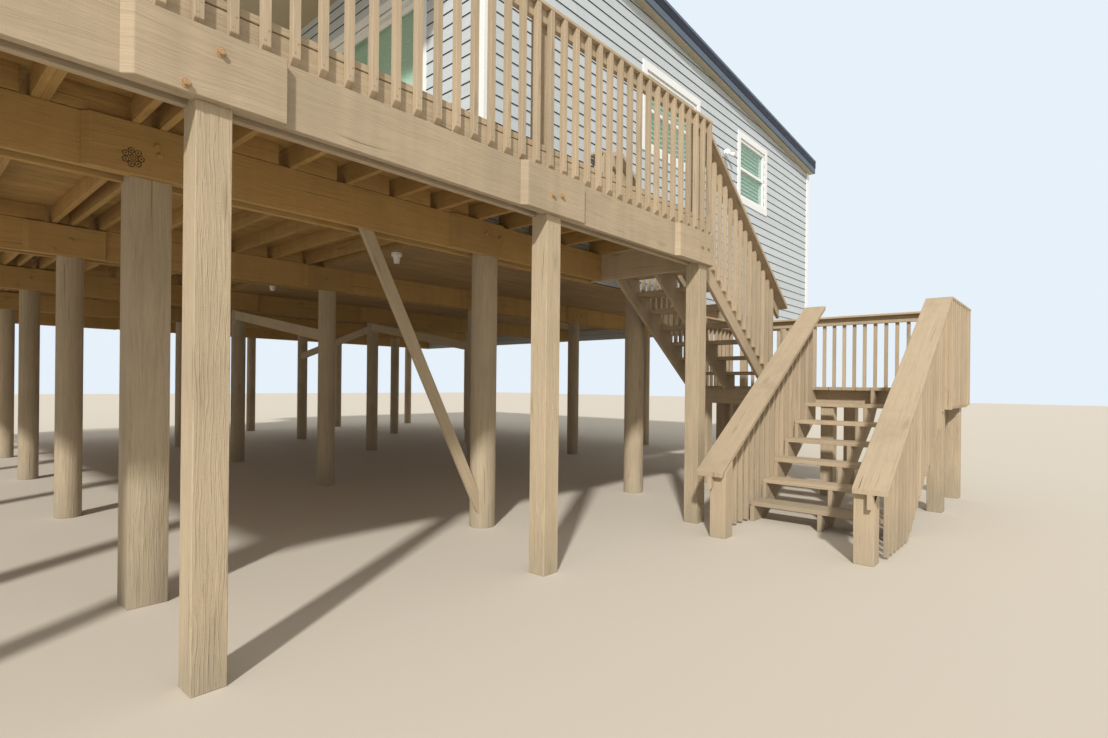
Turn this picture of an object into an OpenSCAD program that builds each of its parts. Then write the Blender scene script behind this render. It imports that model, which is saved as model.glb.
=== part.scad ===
// Raised timber beach house: a one-storey house and a wrap-around deck on piles,
// reached by a stair of two flights that turns on a landing.
// Plan: x runs along the deck front, y runs from the deck front into the house, z is up.
// Plan x = 0 is the left end of the deck, plan y = 0 is the front face of its posts.

/* [Lumber] */
// Thickness of framing boards and of deck boards
ply = 38; // [30:1:50]
// Depth of the deck and house beams
beam_depth = 286; // [235:1:320]
// Depth of the deck joists and of their band board
joist_depth = 140; // [120:1:190]
// Centre to centre distance of the deck joists
joist_step = 406; // [300:1:610]
// Distance from the left band board to the first joist
first_joist = 264; // [150:1:406]
// Gap between each block over a beam and the next joist
block_gap = 60; // [20:5:120]
// Distance that the joists on both sides of the square pile stand off the even spacing
near_shift = 55; // [0:5:100]
// Distance from a joist to its lapped neighbour beside the square pile
joist_lap = 132; // [60:1:180]
// Side of the square deck and landing posts
post_side = 140; // [130:1:160]
// Thickness of the thin panels under the house floor
panel_t = 12; // [9:1:18]

/* [Piles] */
// Height of the beams' underside above the ground
beam_bottom = 2410; // [2250:10:3000]
// Diameter of the front row's round piles
front_pile_d = 230; // [210:1:270]
// Diameter of the other round piles
pile_d = 206; // [202:1:260]
// Overall width of a pair of beam boards with the pile's tongue between
beam_pair = 200; // [190:1:210]
// Distance between pile rows, from front to back
row_step = 3050; // [2700:10:3400]
// Distance between piles along a row
column_step = 2420; // [2200:10:2700]
// Distance from the deck's left end to the first pile's centre
first_column = 130; // [128:1:200]
// Distance from the front posts' face to the first pile row's centre
front_row = 1386; // [1300:2:1600]
// Distance that each pile row stands to the right of the row in front of it
row_shift = 120; // [0:5:150]
// Distance that the square pile stands left of its column's centre
square_pile_shift = 190; // [0:10:260]
// Distance that the round piles behind the square pile stand left of their column's centre
near_pile_shift = 126; // [0:2:200]
// Width of the front brace
brace_w = 95; // [70:1:140]
// Height above the ground of the place where the front brace meets its pile
brace_foot_z = 362; // [300:1:900]
// Distance along the front beam from the brace's pile to the place where the brace leaves the beam
brace_run = 1168; // [900:1:1400]
// Length of the front brace between the beam's two boards, measured upwards
brace_grip = 110; // [60:5:200]
// Width of the braces between pile rows
row_brace_w = 140; // [90:5:184]
// Fall of the braces between pile rows
row_brace_fall = 500; // [300:10:800]

/* [Deck] */
// Centre to centre distance of the front posts
post_step = 2105; // [1900:5:2200]
// Length of the front beam past the end posts
rim_overrun = 63; // [40:1:90]
// Distance that a splice board reaches left of its post's centre
splice_lead = 328; // [250:2:380]
// Distance that a splice board reaches right of its post's centre
splice_trail = 282; // [200:2:320]
// Distance that an inner splice board reaches left of its pile's centre
pile_splice_lead = 356; // [280:2:400]
// Distance that an inner splice board reaches right of its pile's centre
pile_splice_trail = 244; // [180:2:320]
// Distance that the splice board at the house's front left pile reaches left of its centre
corner_splice_lead = 484; // [400:2:520]
// Distance that the splice board at the house's front left pile reaches right of its centre
corner_splice_trail = 100; // [80:2:200]
// Height of the guard's cap above the deck boards
guard_height = 926; // [900:1:1070]
// Side of the square balusters
baluster_side = 38; // [32:1:45]
// Centre to centre distance of the deck's balusters
baluster_step = 133.5; // [110:0.5:145]
// Distance from a level guard's end to its last baluster
baluster_end = 16; // [0:1:60]
// Width of the guard's flat cap
cap_w = 140; // [120:1:160]
// Thickness of the guard's flat cap
cap_h = 26; // [20:1:38]
// Depth of the rail board under the cap
rail_depth = 89; // [70:1:100]
// Side of the posts inside the guard
guard_post = 89; // [70:1:100]

/* [House] */
// Length of the house along the deck front
house_length = 8460; // [8200:10:9400]
// Thickness of the siding below the floor line
siding_t = 22; // [16:1:28]
// Thickness of the outer walls
wall_t = 140; // [110:5:160]
// Height of the right wall's top above the ground
eave_z = 5440; // [5350:10:5700]
// Fall of the roof, in millimetres for each metre
roof_fall = 76; // [60:1:90]
// Thickness of the roof with its framing
roof_t = 235; // [180:5:300]
// Overhang of the roof at the front and the back
rake_overhang = 110; // [60:5:240]
// Overhang of the roof past the right wall
eave_overhang = 20; // [20:5:200]
// Overhang of the roof over the deck on the left
porch_overhang = 1500; // [1200:10:1700]
// Height of the porch ceiling above the ground
porch_ceiling_z = 5830; // [5700:10:5900]

/* [Windows] */
// Height of the window sills above the ground
sill_z = 4270; // [4100:10:4350]
// Height of the window openings
window_h = 925; // [800:5:1000]
// Width of the wide window openings
wide_window_w = 1270; // [1100:5:1400]
// Width of the narrow window openings
narrow_window_w = 950; // [800:5:1050]
// Distance from the house's left wall to the wide front window
wide_window_x = 2680; // [2000:10:2800]
// Distance from the house's left wall to the narrow front window
narrow_window_x = 5380; // [5000:10:6000]
// Width of the casing boards round windows and doors
casing_w = 95; // [70:1:110]
// Thickness of the casing and corner boards
casing_t = 20; // [12:1:28]
// Width of the frame round each sash
sash_w = 45; // [30:1:60]
// Depth of the window and door frames
frame_depth = 80; // [60:1:100]
// Thickness of the glass
glass_t = 6; // [4:1:10]
// Width of the sliding door opening
door_w = 1950; // [1600:10:2200]
// Height of the sliding door opening
door_h = 2400; // [2000:10:2450]
// Distance from the front wall's face to the sliding door
door_y = 940; // [600:10:1100]
// Distance from the sliding door to the first window behind it
door_window_gap = 2300; // [1500:10:2800]
// Distance from the front wall's face to the right wall's first window
right_window_start = 2400; // [1500:10:3500]
// Distance between the two windows of each side wall
side_window_step = 3400; // [2000:10:4200]

/* [Upper flight] */
// Number of risers from the landing to the deck
upper_risers = 9; // [8:1:10]
// Height of each upper riser
upper_rise = 177; // [170:1:185]
// Going of each upper tread
upper_going = 245; // [230:1:270]
// Width of the flight between its baluster faces
upper_width = 1110; // [950:2:1110]
// Distance from the deck's front face to the flight's front balusters
upper_setback = 120; // [0:5:140]
// Width of the flight's sloping flat caps
upper_cap_w = 165; // [140:5:190]
// Length of the rails past the lowest riser
upper_run_out = 150; // [0:5:180]

/* [Lower flight] */
// Number of risers from the ground to the landing
lower_risers = 7; // [6:1:8]
// Going of each lower tread
lower_going = 288; // [260:1:300]
// Centre to centre distance of the outer stringers
lower_width = 1230; // [1000:5:1300]
// Distance from the deck's front face to the back stringer's centre
lower_offset = 319; // [280:1:400]
// Width of the flight's sloping flat caps
lower_cap_w = 235; // [160:1:240]
// Length of the rails past the lowest riser
rail_run_out = 585; // [480:5:620]
// Length of the sloping cap past the foot post
newel_overhang = 55; // [20:5:90]

/* [Stairs and landing] */
// Centre to centre distance of the stairs' and the landing's balusters
stair_baluster_step = 125; // [110:0.5:140]
// Depth of the boards that the stringers are cut from
stringer_depth = 286; // [270:1:300]
// Depth of a tread from front to back
tread_depth = 275; // [250:1:300]
// Length of the landing along the deck front
landing_length = 1260; // [1000:5:1400]
// Distance that the landing reaches past the lower flight's front stringer
landing_lead = 64; // [0:2:100]
// Depth of the landing's framing boards
landing_beam = 184; // [140:1:200]
// Height of the landing guard's cap above the landing
landing_guard_height = 932; // [900:1:1000]

/* [Lamps] */
// Diameter of the lamp holders under the house
lamp_d = 115; // [90:5:150]
// Drop of the lamps with their bulbs
lamp_drop = 110; // [80:5:140]
// Height of the lamp holders
lamp_base = 35; // [20:1:50]
// Distance from the floor's left edge to the lamps
lamp_x = 110; // [80:5:300]
// Distance from a pile row to the lamp behind it
lamp_y = 1540; // [1000:10:2000]

/* [Hidden] */

timber = "#8f7f6b";
siding_blue = "#a9b7c4";
trim_white = "#eef0f0";
roof_dark = "#2b3340";
pane_green = "#8fa79a";

fit = 0.3;
ground_gap = 20;
deck_bays = 3;
row_count = 5;
column_count = 6;
deck_columns = 3;
round_fn = 48;

// Levels
beam_top = beam_bottom + beam_depth;
joist_top = beam_top + joist_depth;
deck_z = joist_top + ply;
landing_z = deck_z - upper_risers * upper_rise;
lower_rise = landing_z / lower_risers;

// Deck plan
deck_right = 2 * rim_overrun + deck_bays * post_step + post_side;
deck_end = deck_right + ply;
function column_x(i) = first_column + i * column_step;
function pile_x(i, j) = column_x(i) + j * row_shift - (i == splice_column ? near_pile_shift : 0);
function row_y(j) = front_row + j * row_step;
last_row = row_y(row_count - 1);
deck_back = last_row + beam_pair / 2;
tongue = beam_pair - 2 * ply;

// House plan
house_left = column_x(deck_columns - 1);
house_right = house_left + house_length;
house_front = front_row + tongue / 2 - siding_t;
house_back = last_row - tongue / 2 + siding_t;
frame_right = house_right - siding_t;
function roof_z(x) = eave_z + (house_right - x) * roof_fall / 1000;
roof_left = house_left - porch_overhang;
roof_right = house_right + eave_overhang;
edge_t = 20;
head_z = sill_z + window_h;
splice_column = 1;
square_pile_x = column_x(splice_column) - square_pile_shift;

// Windows and door
left_window_y = house_front + door_y + door_w + door_window_gap;
right_window_y = house_front + right_window_start;
glass_setback = 30;
blind_t = 25;
track_gap = 4;
stile = 65;
panel_depth = frame_depth / 2 - 2 * track_gap;
panel_w = (door_w - 2 * sash_w + stile) / 2;
panel_h = door_h - 2 * sash_w;

// Stair plan
upper_foot = deck_end + (upper_risers - 1) * upper_going;
landing_left = upper_foot;
landing_right = landing_left + landing_length;
landing_back = upper_setback + upper_width;
lower_back = -lower_offset + ply / 2;
lower_front = lower_back - lower_width - ply;
landing_front = lower_front - landing_lead;
lower_foot = landing_left - lower_risers * lower_going;
rail_end = lower_foot - rail_run_out;
// Depth of the landing's open front edge, where the corner post stands
head = post_side;

// The whole object's box, for the origin at the centre of its underside
box_left = 0;
box_right = roof_right + edge_t;
box_front = min(landing_front - baluster_side, lower_front + ply / 2 - lower_cap_w / 2);
box_back = max(house_back + rake_overhang + edge_t, deck_back);
centre_x = (box_left + box_right) / 2;
centre_y = (box_front + box_back) / 2;

module placed() {
    translate([-centre_x, -centre_y, 0]) children();
}

// A box given by two opposite corners
module block(low, high) {
    translate(low) cube(high - low);
}

// An outline drawn in x and z, extruded from y0 to y1
module side_plate(y0, y1, outline) {
    translate([0, y1, 0]) rotate([90, 0, 0]) linear_extrude(y1 - y0) polygon(outline);
}

// An outline drawn in y and z, extruded from x0 to x1
module end_plate(x0, x1, outline) {
    translate([x0, 0, 0]) rotate([90, 0, 90]) linear_extrude(x1 - x0) polygon(outline);
}

// An outline drawn in x and y, extruded from z0 to z1
module flat_plate(z0, z1, outline) {
    translate([0, 0, z0]) linear_extrude(z1 - z0) polygon(outline);
}

// Posts and piles
module deck_post(x) {
    block([x, 0, 0], [x + post_side, post_side, beam_bottom]);
    block([x, ply, beam_bottom - 1], [x + post_side, post_side - ply, beam_top]);
}

module deck_posts() color(timber) placed() {
    for (i = [0 : deck_bays]) deck_post(rim_overrun + i * post_step);
}

module round_pile(x, y, d, notched) {
    difference() {
        translate([x, y, 0]) cylinder(h = notched ? beam_top : beam_bottom, d = d, $fn = round_fn);
        if (notched) for (side = [-1, 1]) {
            near = side * tongue / 2;
            far = side * d;
            block([x - d, y + min(near, far), beam_bottom],
                  [x + d, y + max(near, far), beam_top + 1]);
        }
    }
}

module square_pile(x, y) {
    block([x - beam_pair / 2, y - beam_pair / 2, 0], [x + beam_pair / 2, y + beam_pair / 2, beam_bottom]);
    block([x - beam_pair / 2, y - tongue / 2, beam_bottom - 1], [x + beam_pair / 2, y + tongue / 2, beam_top]);
}

module front_piles() color(timber) placed() {
    for (i = [0 : column_count - 1])
        if (i == splice_column) square_pile(square_pile_x, front_row);
        else round_pile(column_x(i), front_row, front_pile_d, i < deck_columns);
}

module back_piles() color(timber) placed() {
    for (j = [1 : row_count - 1], i = [0 : column_count - 1])
        round_pile(pile_x(i, j), row_y(j), pile_d, j < row_count - 1 || pile_x(i, j) + pile_d < house_left);
}

// Beams
module beam_board(x0, x1, y) {
    block([x0, y, beam_bottom], [x1, y + ply, beam_top]);
}

module front_beam() color(timber) placed() {
    beam_board(0, deck_right, front_row - beam_pair / 2);
    beam_board(0, frame_right, front_row + tongue / 2);
    beam_board(house_left + front_pile_d / 2, frame_right, front_row + beam_pair / 2);
}

module inner_beams() color(timber) placed() {
    for (j = [1 : row_count - 2]) {
        beam_board(0, frame_right, row_y(j) - beam_pair / 2);
        beam_board(0, frame_right, row_y(j) + tongue / 2);
    }
    beam_board(0, frame_right, last_row - beam_pair / 2);
    beam_board(0, house_left, last_row + tongue / 2);
    beam_board(house_left, frame_right, last_row - beam_pair / 2 - ply);
}

module rim_beam() color(timber) placed() {
    beam_board(0, deck_right, 0);
    beam_board(0, deck_right, post_side - ply);
}

// A board across a joint, with its left end cut at 45 degrees
module splice_board(x0, x1, y, top = beam_top) {
    flat_plate(beam_bottom, top, [[x0 + ply, y - ply], [x1, y - ply], [x1, y], [x0, y]]);
}

module pile_splice(x, y) {
    splice_board(x - pile_splice_lead, x + pile_splice_trail, y, beam_top - panel_t);
}

module splice_boards() color(timber) placed() {
    splice_board(0, splice_lead + splice_trail, 0);
    for (i = [1 : deck_bays - 1]) {
        middle = rim_overrun + i * post_step + post_side / 2;
        splice_board(middle - splice_lead, middle + splice_trail, 0);
    }
    splice_board(deck_right - splice_lead * 2, deck_right, 0);
    front = front_row - beam_pair / 2;
    splice_board(square_pile_x - splice_lead, square_pile_x + splice_trail, front);
    splice_board(house_left - corner_splice_lead, house_left + corner_splice_trail, front);
    for (j = [1 : row_count - 2], i = [splice_column : column_count - 2])
        pile_splice(pile_x(i, j), row_y(j) - beam_pair / 2);
    pile_splice(pile_x(splice_column, row_count - 1), last_row - beam_pair / 2);
}

module deck_end_beam() color(timber) placed() {
    block([deck_right, 0, beam_bottom], [deck_end, house_front, beam_top]);
}

// A brace from between the front beam's boards down to its pile, cut round to the pile
module front_brace(x_pile) {
    reach = front_pile_d / 2;
    drop = beam_bottom - brace_foot_z;
    run = brace_run - reach;
    lean = brace_w * sqrt(drop * drop + run * run) / drop;
    y0 = front_row - tongue / 2;
    high_x = x_pile - brace_run - brace_grip * run / drop;
    difference() {
        side_plate(y0, y0 + ply, [
            [high_x, beam_bottom + brace_grip], [high_x - lean, beam_bottom + brace_grip],
            [x_pile - reach / 2, brace_foot_z - (lean + reach / 2) * drop / run],
            [x_pile - reach / 2, brace_foot_z - reach / 2 * drop / run]
        ]);
        translate([x_pile, front_row, 0]) cylinder(h = beam_top, r = reach + fit, $fn = round_fn);
    }
}

// A brace from under the beam at one pile down to the pile of the next row
module row_brace(i, high_row, low_row) {
    middle = (pile_x(i, high_row) + pile_x(i, low_row)) / 2;
    high = beam_bottom;
    low = beam_bottom - row_brace_fall;
    outline = [
        [row_y(high_row), high], [row_y(low_row), low],
        [row_y(low_row), low - row_brace_w], [row_y(high_row), high - row_brace_w]
    ];
    difference() {
        end_plate(middle - ply / 2, middle + ply / 2, outline);
        for (j = [high_row, low_row])
            translate([pile_x(i, j), row_y(j), 0]) cylinder(h = beam_top, d = pile_d + 2 * fit, $fn = round_fn);
    }
}

module knee_braces() color(timber) placed() {
    front_brace(column_x(deck_columns - 1));
    row_brace(2, 2, 1);
    row_brace(3, 2, 3);
    row_brace(3, 2, 1);
}

// Deck framing and floor
module joist(x, y0, y1) {
    block([x, y0, beam_top], [x + ply, y1, joist_top]);
}

function even_x(i) = baluster_side + first_joist + i * joist_step;
near = floor((square_pile_x - even_x(0)) / joist_step);
function joist_x(i) = even_x(i) + (i == near ? near_shift : 0) - (i == near - 1 ? near_shift : 0);

module deck_joists() color(timber) placed() {
    inner = baluster_side + ply;
    last = floor((house_left - ply - even_x(0)) / joist_step);
    block([baluster_side, baluster_side, beam_top], [deck_right, inner, joist_top]);
    block([baluster_side, deck_back - inner, beam_top],
          [house_left, deck_back - baluster_side, joist_top]);
    joist(baluster_side, inner, deck_back - inner);
    for (i = [0 : last]) joist(joist_x(i), inner, deck_back - inner);
    for (x = [house_left + joist_step / 2 : joist_step : deck_right - joist_step / 2])
        joist(x, inner, house_front);
    joist(deck_right - ply, inner, house_front);
    // Blocks over the beams
    for (i = [0 : last - 1], j = [0 : row_count - 1])
        block([joist_x(i) + ply, row_y(j) - beam_pair / 2, beam_top],
              [joist_x(i + 1) - block_gap, row_y(j) - beam_pair / 2 + ply, joist_top]);
    // Doubled and lapped joists beside the square pile
    joist(joist_x(near - 1) - ply, inner, deck_back - inner);
    joist(joist_x(near) - joist_lap, inner, front_row - beam_pair / 2);
    joist(joist_x(near) + joist_lap, front_row - beam_pair / 2, deck_back - inner);
}

module deck_floor() color(timber) placed() {
    flat_plate(joist_top, deck_z, [
        [baluster_side, baluster_side], [deck_end, baluster_side], [deck_end, house_front],
        [house_left, house_front], [house_left, deck_back - baluster_side],
        [baluster_side, deck_back - baluster_side]
    ]);
}

module house_floor() color(timber) placed() {
    block([house_left, house_front + siding_t, beam_top],
          [frame_right, house_back - siding_t, deck_z]);
}

module underfloor_panels() color("#a58c66") placed() {
    half = beam_pair / 2;
    for (j = [0 : row_count - 2])
        block([house_left, row_y(j) + half + (j == 0 ? ply : 0), beam_top - panel_t],
              [frame_right, row_y(j + 1) - half - (j == row_count - 2 ? ply : 0), beam_top]);
}

// Walls: each has its siding carried down over the floor framing
module front_outline() {
    polygon([
        [house_left, deck_z], [house_right, deck_z],
        [house_right, roof_z(house_right)], [house_left, roof_z(house_left)]
    ]);
}

module window_hole(x, w) {
    translate([x, sill_z]) square([w, window_h]);
}

module long_wall(y0, y1) {
    translate([0, y1, 0]) rotate([90, 0, 0]) linear_extrude(y1 - y0) difference() {
        front_outline();
        window_hole(house_left + wide_window_x, wide_window_w);
        window_hole(house_left + narrow_window_x, narrow_window_w);
    }
}

// The siding's lower part, which starts at x0 below the deck's framing
module siding_skirt(y, x0) {
    block([x0, y, beam_bottom], [house_right, y + siding_t, beam_top]);
    block([house_left, y, beam_top], [house_right, y + siding_t, deck_z]);
}

module front_wall() color(siding_blue) placed() {
    long_wall(house_front, house_front + wall_t);
    siding_skirt(house_front, deck_end);
}

module back_wall() color(siding_blue) placed() {
    long_wall(house_back - wall_t, house_back);
    siding_skirt(house_back - siding_t, house_left);
}

// A wall along y between the long walls, its top cut to the roof's slope
module short_wall(x0) {
    x1 = x0 + wall_t;
    side_plate(house_front + wall_t, house_back - wall_t,
        [[x0, deck_z], [x1, deck_z], [x1, roof_z(x1)], [x0, roof_z(x0)]]);
}

module short_wall_window(x0, y) {
    block([x0 - 1, y, sill_z], [x0 + wall_t + 1, y + wide_window_w, head_z]);
}

module left_wall() color(siding_blue) placed() difference() {
    short_wall(house_left);
    block([house_left - 1, house_front + door_y, deck_z - 1],
          [house_left + wall_t + 1, house_front + door_y + door_w, deck_z + door_h]);
    short_wall_window(house_left, left_window_y);
    short_wall_window(house_left, left_window_y + side_window_step);
}

module right_wall() color(siding_blue) placed() {
    difference() {
        short_wall(house_right - wall_t);
        short_wall_window(house_right - wall_t, right_window_y);
        short_wall_window(house_right - wall_t, right_window_y + side_window_step);
    }
    block([frame_right, house_front + siding_t, beam_bottom],
          [house_right, house_back - siding_t, deck_z]);
}

module corner_boards() color(trim_white) placed() {
    top_right = roof_z(house_right);
    for (y = [house_front - casing_t, house_back])
        block([house_right - casing_w, y, beam_bottom], [house_right, y + casing_t, top_right]);
    block([house_right, house_front - casing_t, beam_bottom],
          [house_right + casing_t, house_front + casing_w, top_right - casing_t * 2]);
    block([house_right, house_back - casing_w, beam_bottom],
          [house_right + casing_t, house_back + casing_t, top_right - casing_t * 2]);
    for (y = [house_front - casing_t, house_back])
        block([house_left, y, deck_z], [house_left + casing_w, y + casing_t, porch_ceiling_z]);
    block([house_left - casing_t, house_front - casing_t, deck_z],
          [house_left, house_front + casing_w, porch_ceiling_z]);
    block([house_left - casing_t, house_back - casing_w, deck_z],
          [house_left, house_back + casing_t, porch_ceiling_z]);
}

// A rectangular ring of boards in the x and z plane, open at w by h
module board_ring(w, h, border, depth) {
    translate([0, depth, 0]) rotate([90, 0, 0]) linear_extrude(depth) difference() {
        translate([-border, -border]) square([w + 2 * border, h + 2 * border]);
        square([w, h]);
    }
}

// Places its children as a window seen from outside: x along the wall, y into it
module at_windows() {
    translate([house_left + wide_window_x, house_front, sill_z]) children(0);
    translate([house_left + narrow_window_x, house_front, sill_z]) children(1);
    translate([house_left + wide_window_x + wide_window_w, house_back, sill_z]) rotate(180) children(0);
    translate([house_left + narrow_window_x + narrow_window_w, house_back, sill_z]) rotate(180) children(1);
    for (dy = [0, side_window_step]) {
        translate([house_left, left_window_y + dy + wide_window_w, sill_z]) rotate(-90) children(0);
        translate([house_right, right_window_y + dy, sill_z]) rotate(90) children(0);
    }
}

module at_door() {
    translate([house_left, house_front + door_y + door_w, deck_z]) rotate(-90) children();
}

module window_casing(w) {
    translate([0, -casing_t, 0]) board_ring(w, window_h, casing_w, casing_t);
}

module window_casings() color(trim_white) placed() {
    at_windows() {
        window_casing(wide_window_w);
        window_casing(narrow_window_w);
    }
    at_door() translate([0, -casing_t, 0]) difference() {
        block([-casing_w, 0, 0], [door_w + casing_w, casing_t, door_h + casing_w]);
        block([0, -1, -1], [door_w, casing_t + 1, door_h]);
    }
}

// A single hung sash pair: outer frame and meeting rail
module window_sash(w) {
    inner_w = w - 2 * sash_w;
    inner_h = window_h - 2 * sash_w;
    translate([sash_w, 0, sash_w]) board_ring(inner_w, inner_h, sash_w, frame_depth);
    block([sash_w - 1, 0, (window_h - sash_w) / 2], [w - sash_w + 1, frame_depth, (window_h + sash_w) / 2]);
}

module window_sashes() color(trim_white) placed() {
    at_windows() {
        window_sash(wide_window_w);
        window_sash(narrow_window_w);
    }
}

module window_pane(w) {
    half_h = (window_h - 3 * sash_w) / 2;
    for (z = [sash_w, 2 * sash_w + half_h])
        block([sash_w, glass_setback, z], [w - sash_w, glass_setback + glass_t, z + half_h]);
}

module window_panes() color(pane_green) placed() {
    at_windows() {
        window_pane(wide_window_w);
        window_pane(narrow_window_w);
    }
}

module window_blind(w) {
    block([fit, frame_depth, fit], [w - fit, frame_depth + blind_t, window_h - fit]);
}

module window_blinds() color(trim_white) placed() {
    at_windows() {
        window_blind(wide_window_w);
        window_blind(narrow_window_w);
    }
}

module door_blinds() color(trim_white) placed() {
    at_door() block([fit, frame_depth, fit], [door_w - fit, frame_depth + blind_t, door_h - fit]);
}

module door_frame() color(trim_white) placed() at_door() difference() {
    block([0, 0, 0], [door_w, frame_depth, door_h]);
    block([sash_w, -1, sash_w], [door_w - sash_w, frame_depth + 1, door_h - sash_w]);
}

// Two sliding panels that lap at the middle, one behind the other
module at_panels() {
    at_door() for (i = [0, 1])
        translate([sash_w + i * (panel_w - stile), track_gap + i * (panel_depth + 2 * track_gap), sash_w])
            children();
}

module door_panels() color(trim_white) placed() {
    at_panels() translate([stile, 0, stile])
        board_ring(panel_w - 2 * stile, panel_h - 2 * stile, stile, panel_depth);
}

module door_panes() color(pane_green) placed() {
    at_panels() block([stile, (panel_depth - glass_t) / 2, stile],
                      [panel_w - stile, (panel_depth + glass_t) / 2, panel_h - stile]);
}

// Roof
module roof() color(roof_dark) placed() {
    side_plate(house_front - rake_overhang, house_back + rake_overhang, [
        [roof_left, roof_z(roof_left)], [roof_right, roof_z(roof_right)],
        [roof_right, roof_z(roof_right) + roof_t], [roof_left, roof_z(roof_left) + roof_t]
    ]);
}

module roof_edge() color("#5f6d7d") placed() {
    outline = [
        [roof_left, roof_z(roof_left)], [roof_right, roof_z(roof_right)],
        [roof_right, roof_z(roof_right) + roof_t], [roof_left, roof_z(roof_left) + roof_t]
    ];
    side_plate(house_front - rake_overhang - edge_t, house_front - rake_overhang, outline);
    side_plate(house_back + rake_overhang, house_back + rake_overhang + edge_t, outline);
    for (x = [roof_left - edge_t, roof_right])
        block([x, house_front - rake_overhang - edge_t, roof_z(x + edge_t)],
              [x + edge_t, house_back + rake_overhang + edge_t, roof_z(x + edge_t) + roof_t]);
}

module porch_ceiling() color("#b9bdb8") placed() {
    side_plate(house_front - rake_overhang, house_back + rake_overhang, [
        [roof_left, porch_ceiling_z], [house_left - fit, porch_ceiling_z],
        [house_left - fit, roof_z(house_left - fit)], [roof_left, roof_z(roof_left)]
    ]);
}

// Guards
// One baluster against the face y = baluster_side, its foot bevelled on the outside
module baluster(z0, z1) {
    end_plate(0, baluster_side, [
        [0, z0 + baluster_side], [baluster_side, z0], [baluster_side, z1], [0, z1]
    ]);
}

// A level guard along x, balusters outside, between x = 0 and x = length
module level_guard(length, floor_z, height, foot_z, step, posts) {
    cap_z = floor_z + height - cap_h;
    inner = baluster_side + ply;
    last = length - baluster_end - baluster_side;
    block([0, 0, cap_z], [length, cap_w, cap_z + cap_h]);
    block([0, baluster_side, cap_z - rail_depth], [length, inner, cap_z]);
    for (i = [0 : floor(last / step)]) translate([last - i * step, 0, 0]) baluster(foot_z, cap_z);
    for (x = posts) block([x, inner, floor_z], [x + guard_post, inner + guard_post, cap_z]);
}

foot_gap = 4;
deck_foot = beam_top + foot_gap;

module front_guard() color(timber) placed() {
    inner = baluster_side + ply;
    level_guard(deck_end, deck_z, guard_height, deck_foot, baluster_step,
        [for (i = [1 : deck_bays - 1]) rim_overrun + i * post_step]);
    block([deck_end - post_side, inner, deck_z], [deck_end, inner + post_side, deck_z + guard_height - cap_h]);
}

module left_guard() color(timber) placed() {
    left_guard_bays = 6;
    length = deck_back - 2 * cap_w;
    translate([0, deck_back - cap_w, 0]) rotate(-90)
        level_guard(length, deck_z, guard_height, deck_foot, baluster_step,
            [for (k = [0 : left_guard_bays]) k * (length - guard_post) / left_guard_bays]);
}

module back_guard() color(timber) placed() {
    length = house_left - casing_t;
    translate([length, deck_back, 0]) rotate(180)
        level_guard(length, deck_z, guard_height, deck_foot, baluster_step, [0, (length - guard_post) / 2]);
}

module end_guard() color(timber) placed() {
    start = upper_setback + upper_width;
    length = house_front - casing_t - start;
    cap_z = deck_z + guard_height - cap_h;
    block([deck_end - guard_post, start, deck_z], [deck_end, start + guard_post, cap_z]);
    block([deck_end - cap_w, start, cap_z], [deck_end, start + length, cap_z + cap_h]);
    block([deck_end - ply, start + guard_post, cap_z - rail_depth], [deck_end, start + length, cap_z]);
    block([deck_end - ply, start + length - baluster_side, deck_z],
          [deck_end, start + length, cap_z - rail_depth]);
}

// Stairs
// A stringer's outline: notched for its treads above, straight below, x falling with z
function step_points(count, rise, going) = [
    for (i = [0 : count - 1], k = [0, 1])
        [(i + k) * going, -(i + 1) * rise - ply]
];

// A stringer runs back past its top riser by reach, up to the floor board, and stands on foot_z
module stringer(y, top_x, top_z, foot_z, count, rise, going, direction, reach) {
    slope = rise / going;
    thick = stringer_depth * sqrt(1 + slope * slope);
    low_x = count * going;
    seat = foot_z - top_z;
    start = reach > 0 ? [[-reach, -ply], [0, -ply]] : [];
    finish = reach > 0 ? [[-reach, -ply - rise]] : [];
    outline = concat(start, [[0, -ply - rise]], step_points(count, rise, going),
        [[low_x, seat], [(-ply - thick - seat) / slope, seat], [0, -ply - thick]], finish);
    translate([top_x, y, top_z]) scale_x(direction)
        rotate([90, 0, 0]) translate([0, 0, -ply]) linear_extrude(ply) polygon(outline);
}

module scale_x(direction) {
    if (direction < 0) mirror([1, 0, 0]) children();
    else children();
}

module treads(y0, y1, top_x, top_z, count, rise, going, direction) {
    nose = tread_depth - going;
    for (i = [0 : count - 1]) {
        z = top_z - (i + 1) * rise;
        translate([top_x, 0, z - ply]) scale_x(direction)
            block([i * going + fit, y0, 0], [(i + 1) * going + nose, y1, ply]);
    }
}

module upper_stringers() color(timber) placed() {
    for (y = [baluster_side, (upper_width - ply) / 2, upper_width - baluster_side - ply])
        stringer(upper_setback + y, deck_end, deck_z, landing_z - ply, upper_risers - 1, upper_rise,
            upper_going, 1, 0);
}

module upper_treads() color(timber) placed() {
    treads(upper_setback + baluster_side, landing_back - baluster_side, deck_end, deck_z,
        upper_risers - 1, upper_rise, upper_going, 1);
}

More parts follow.
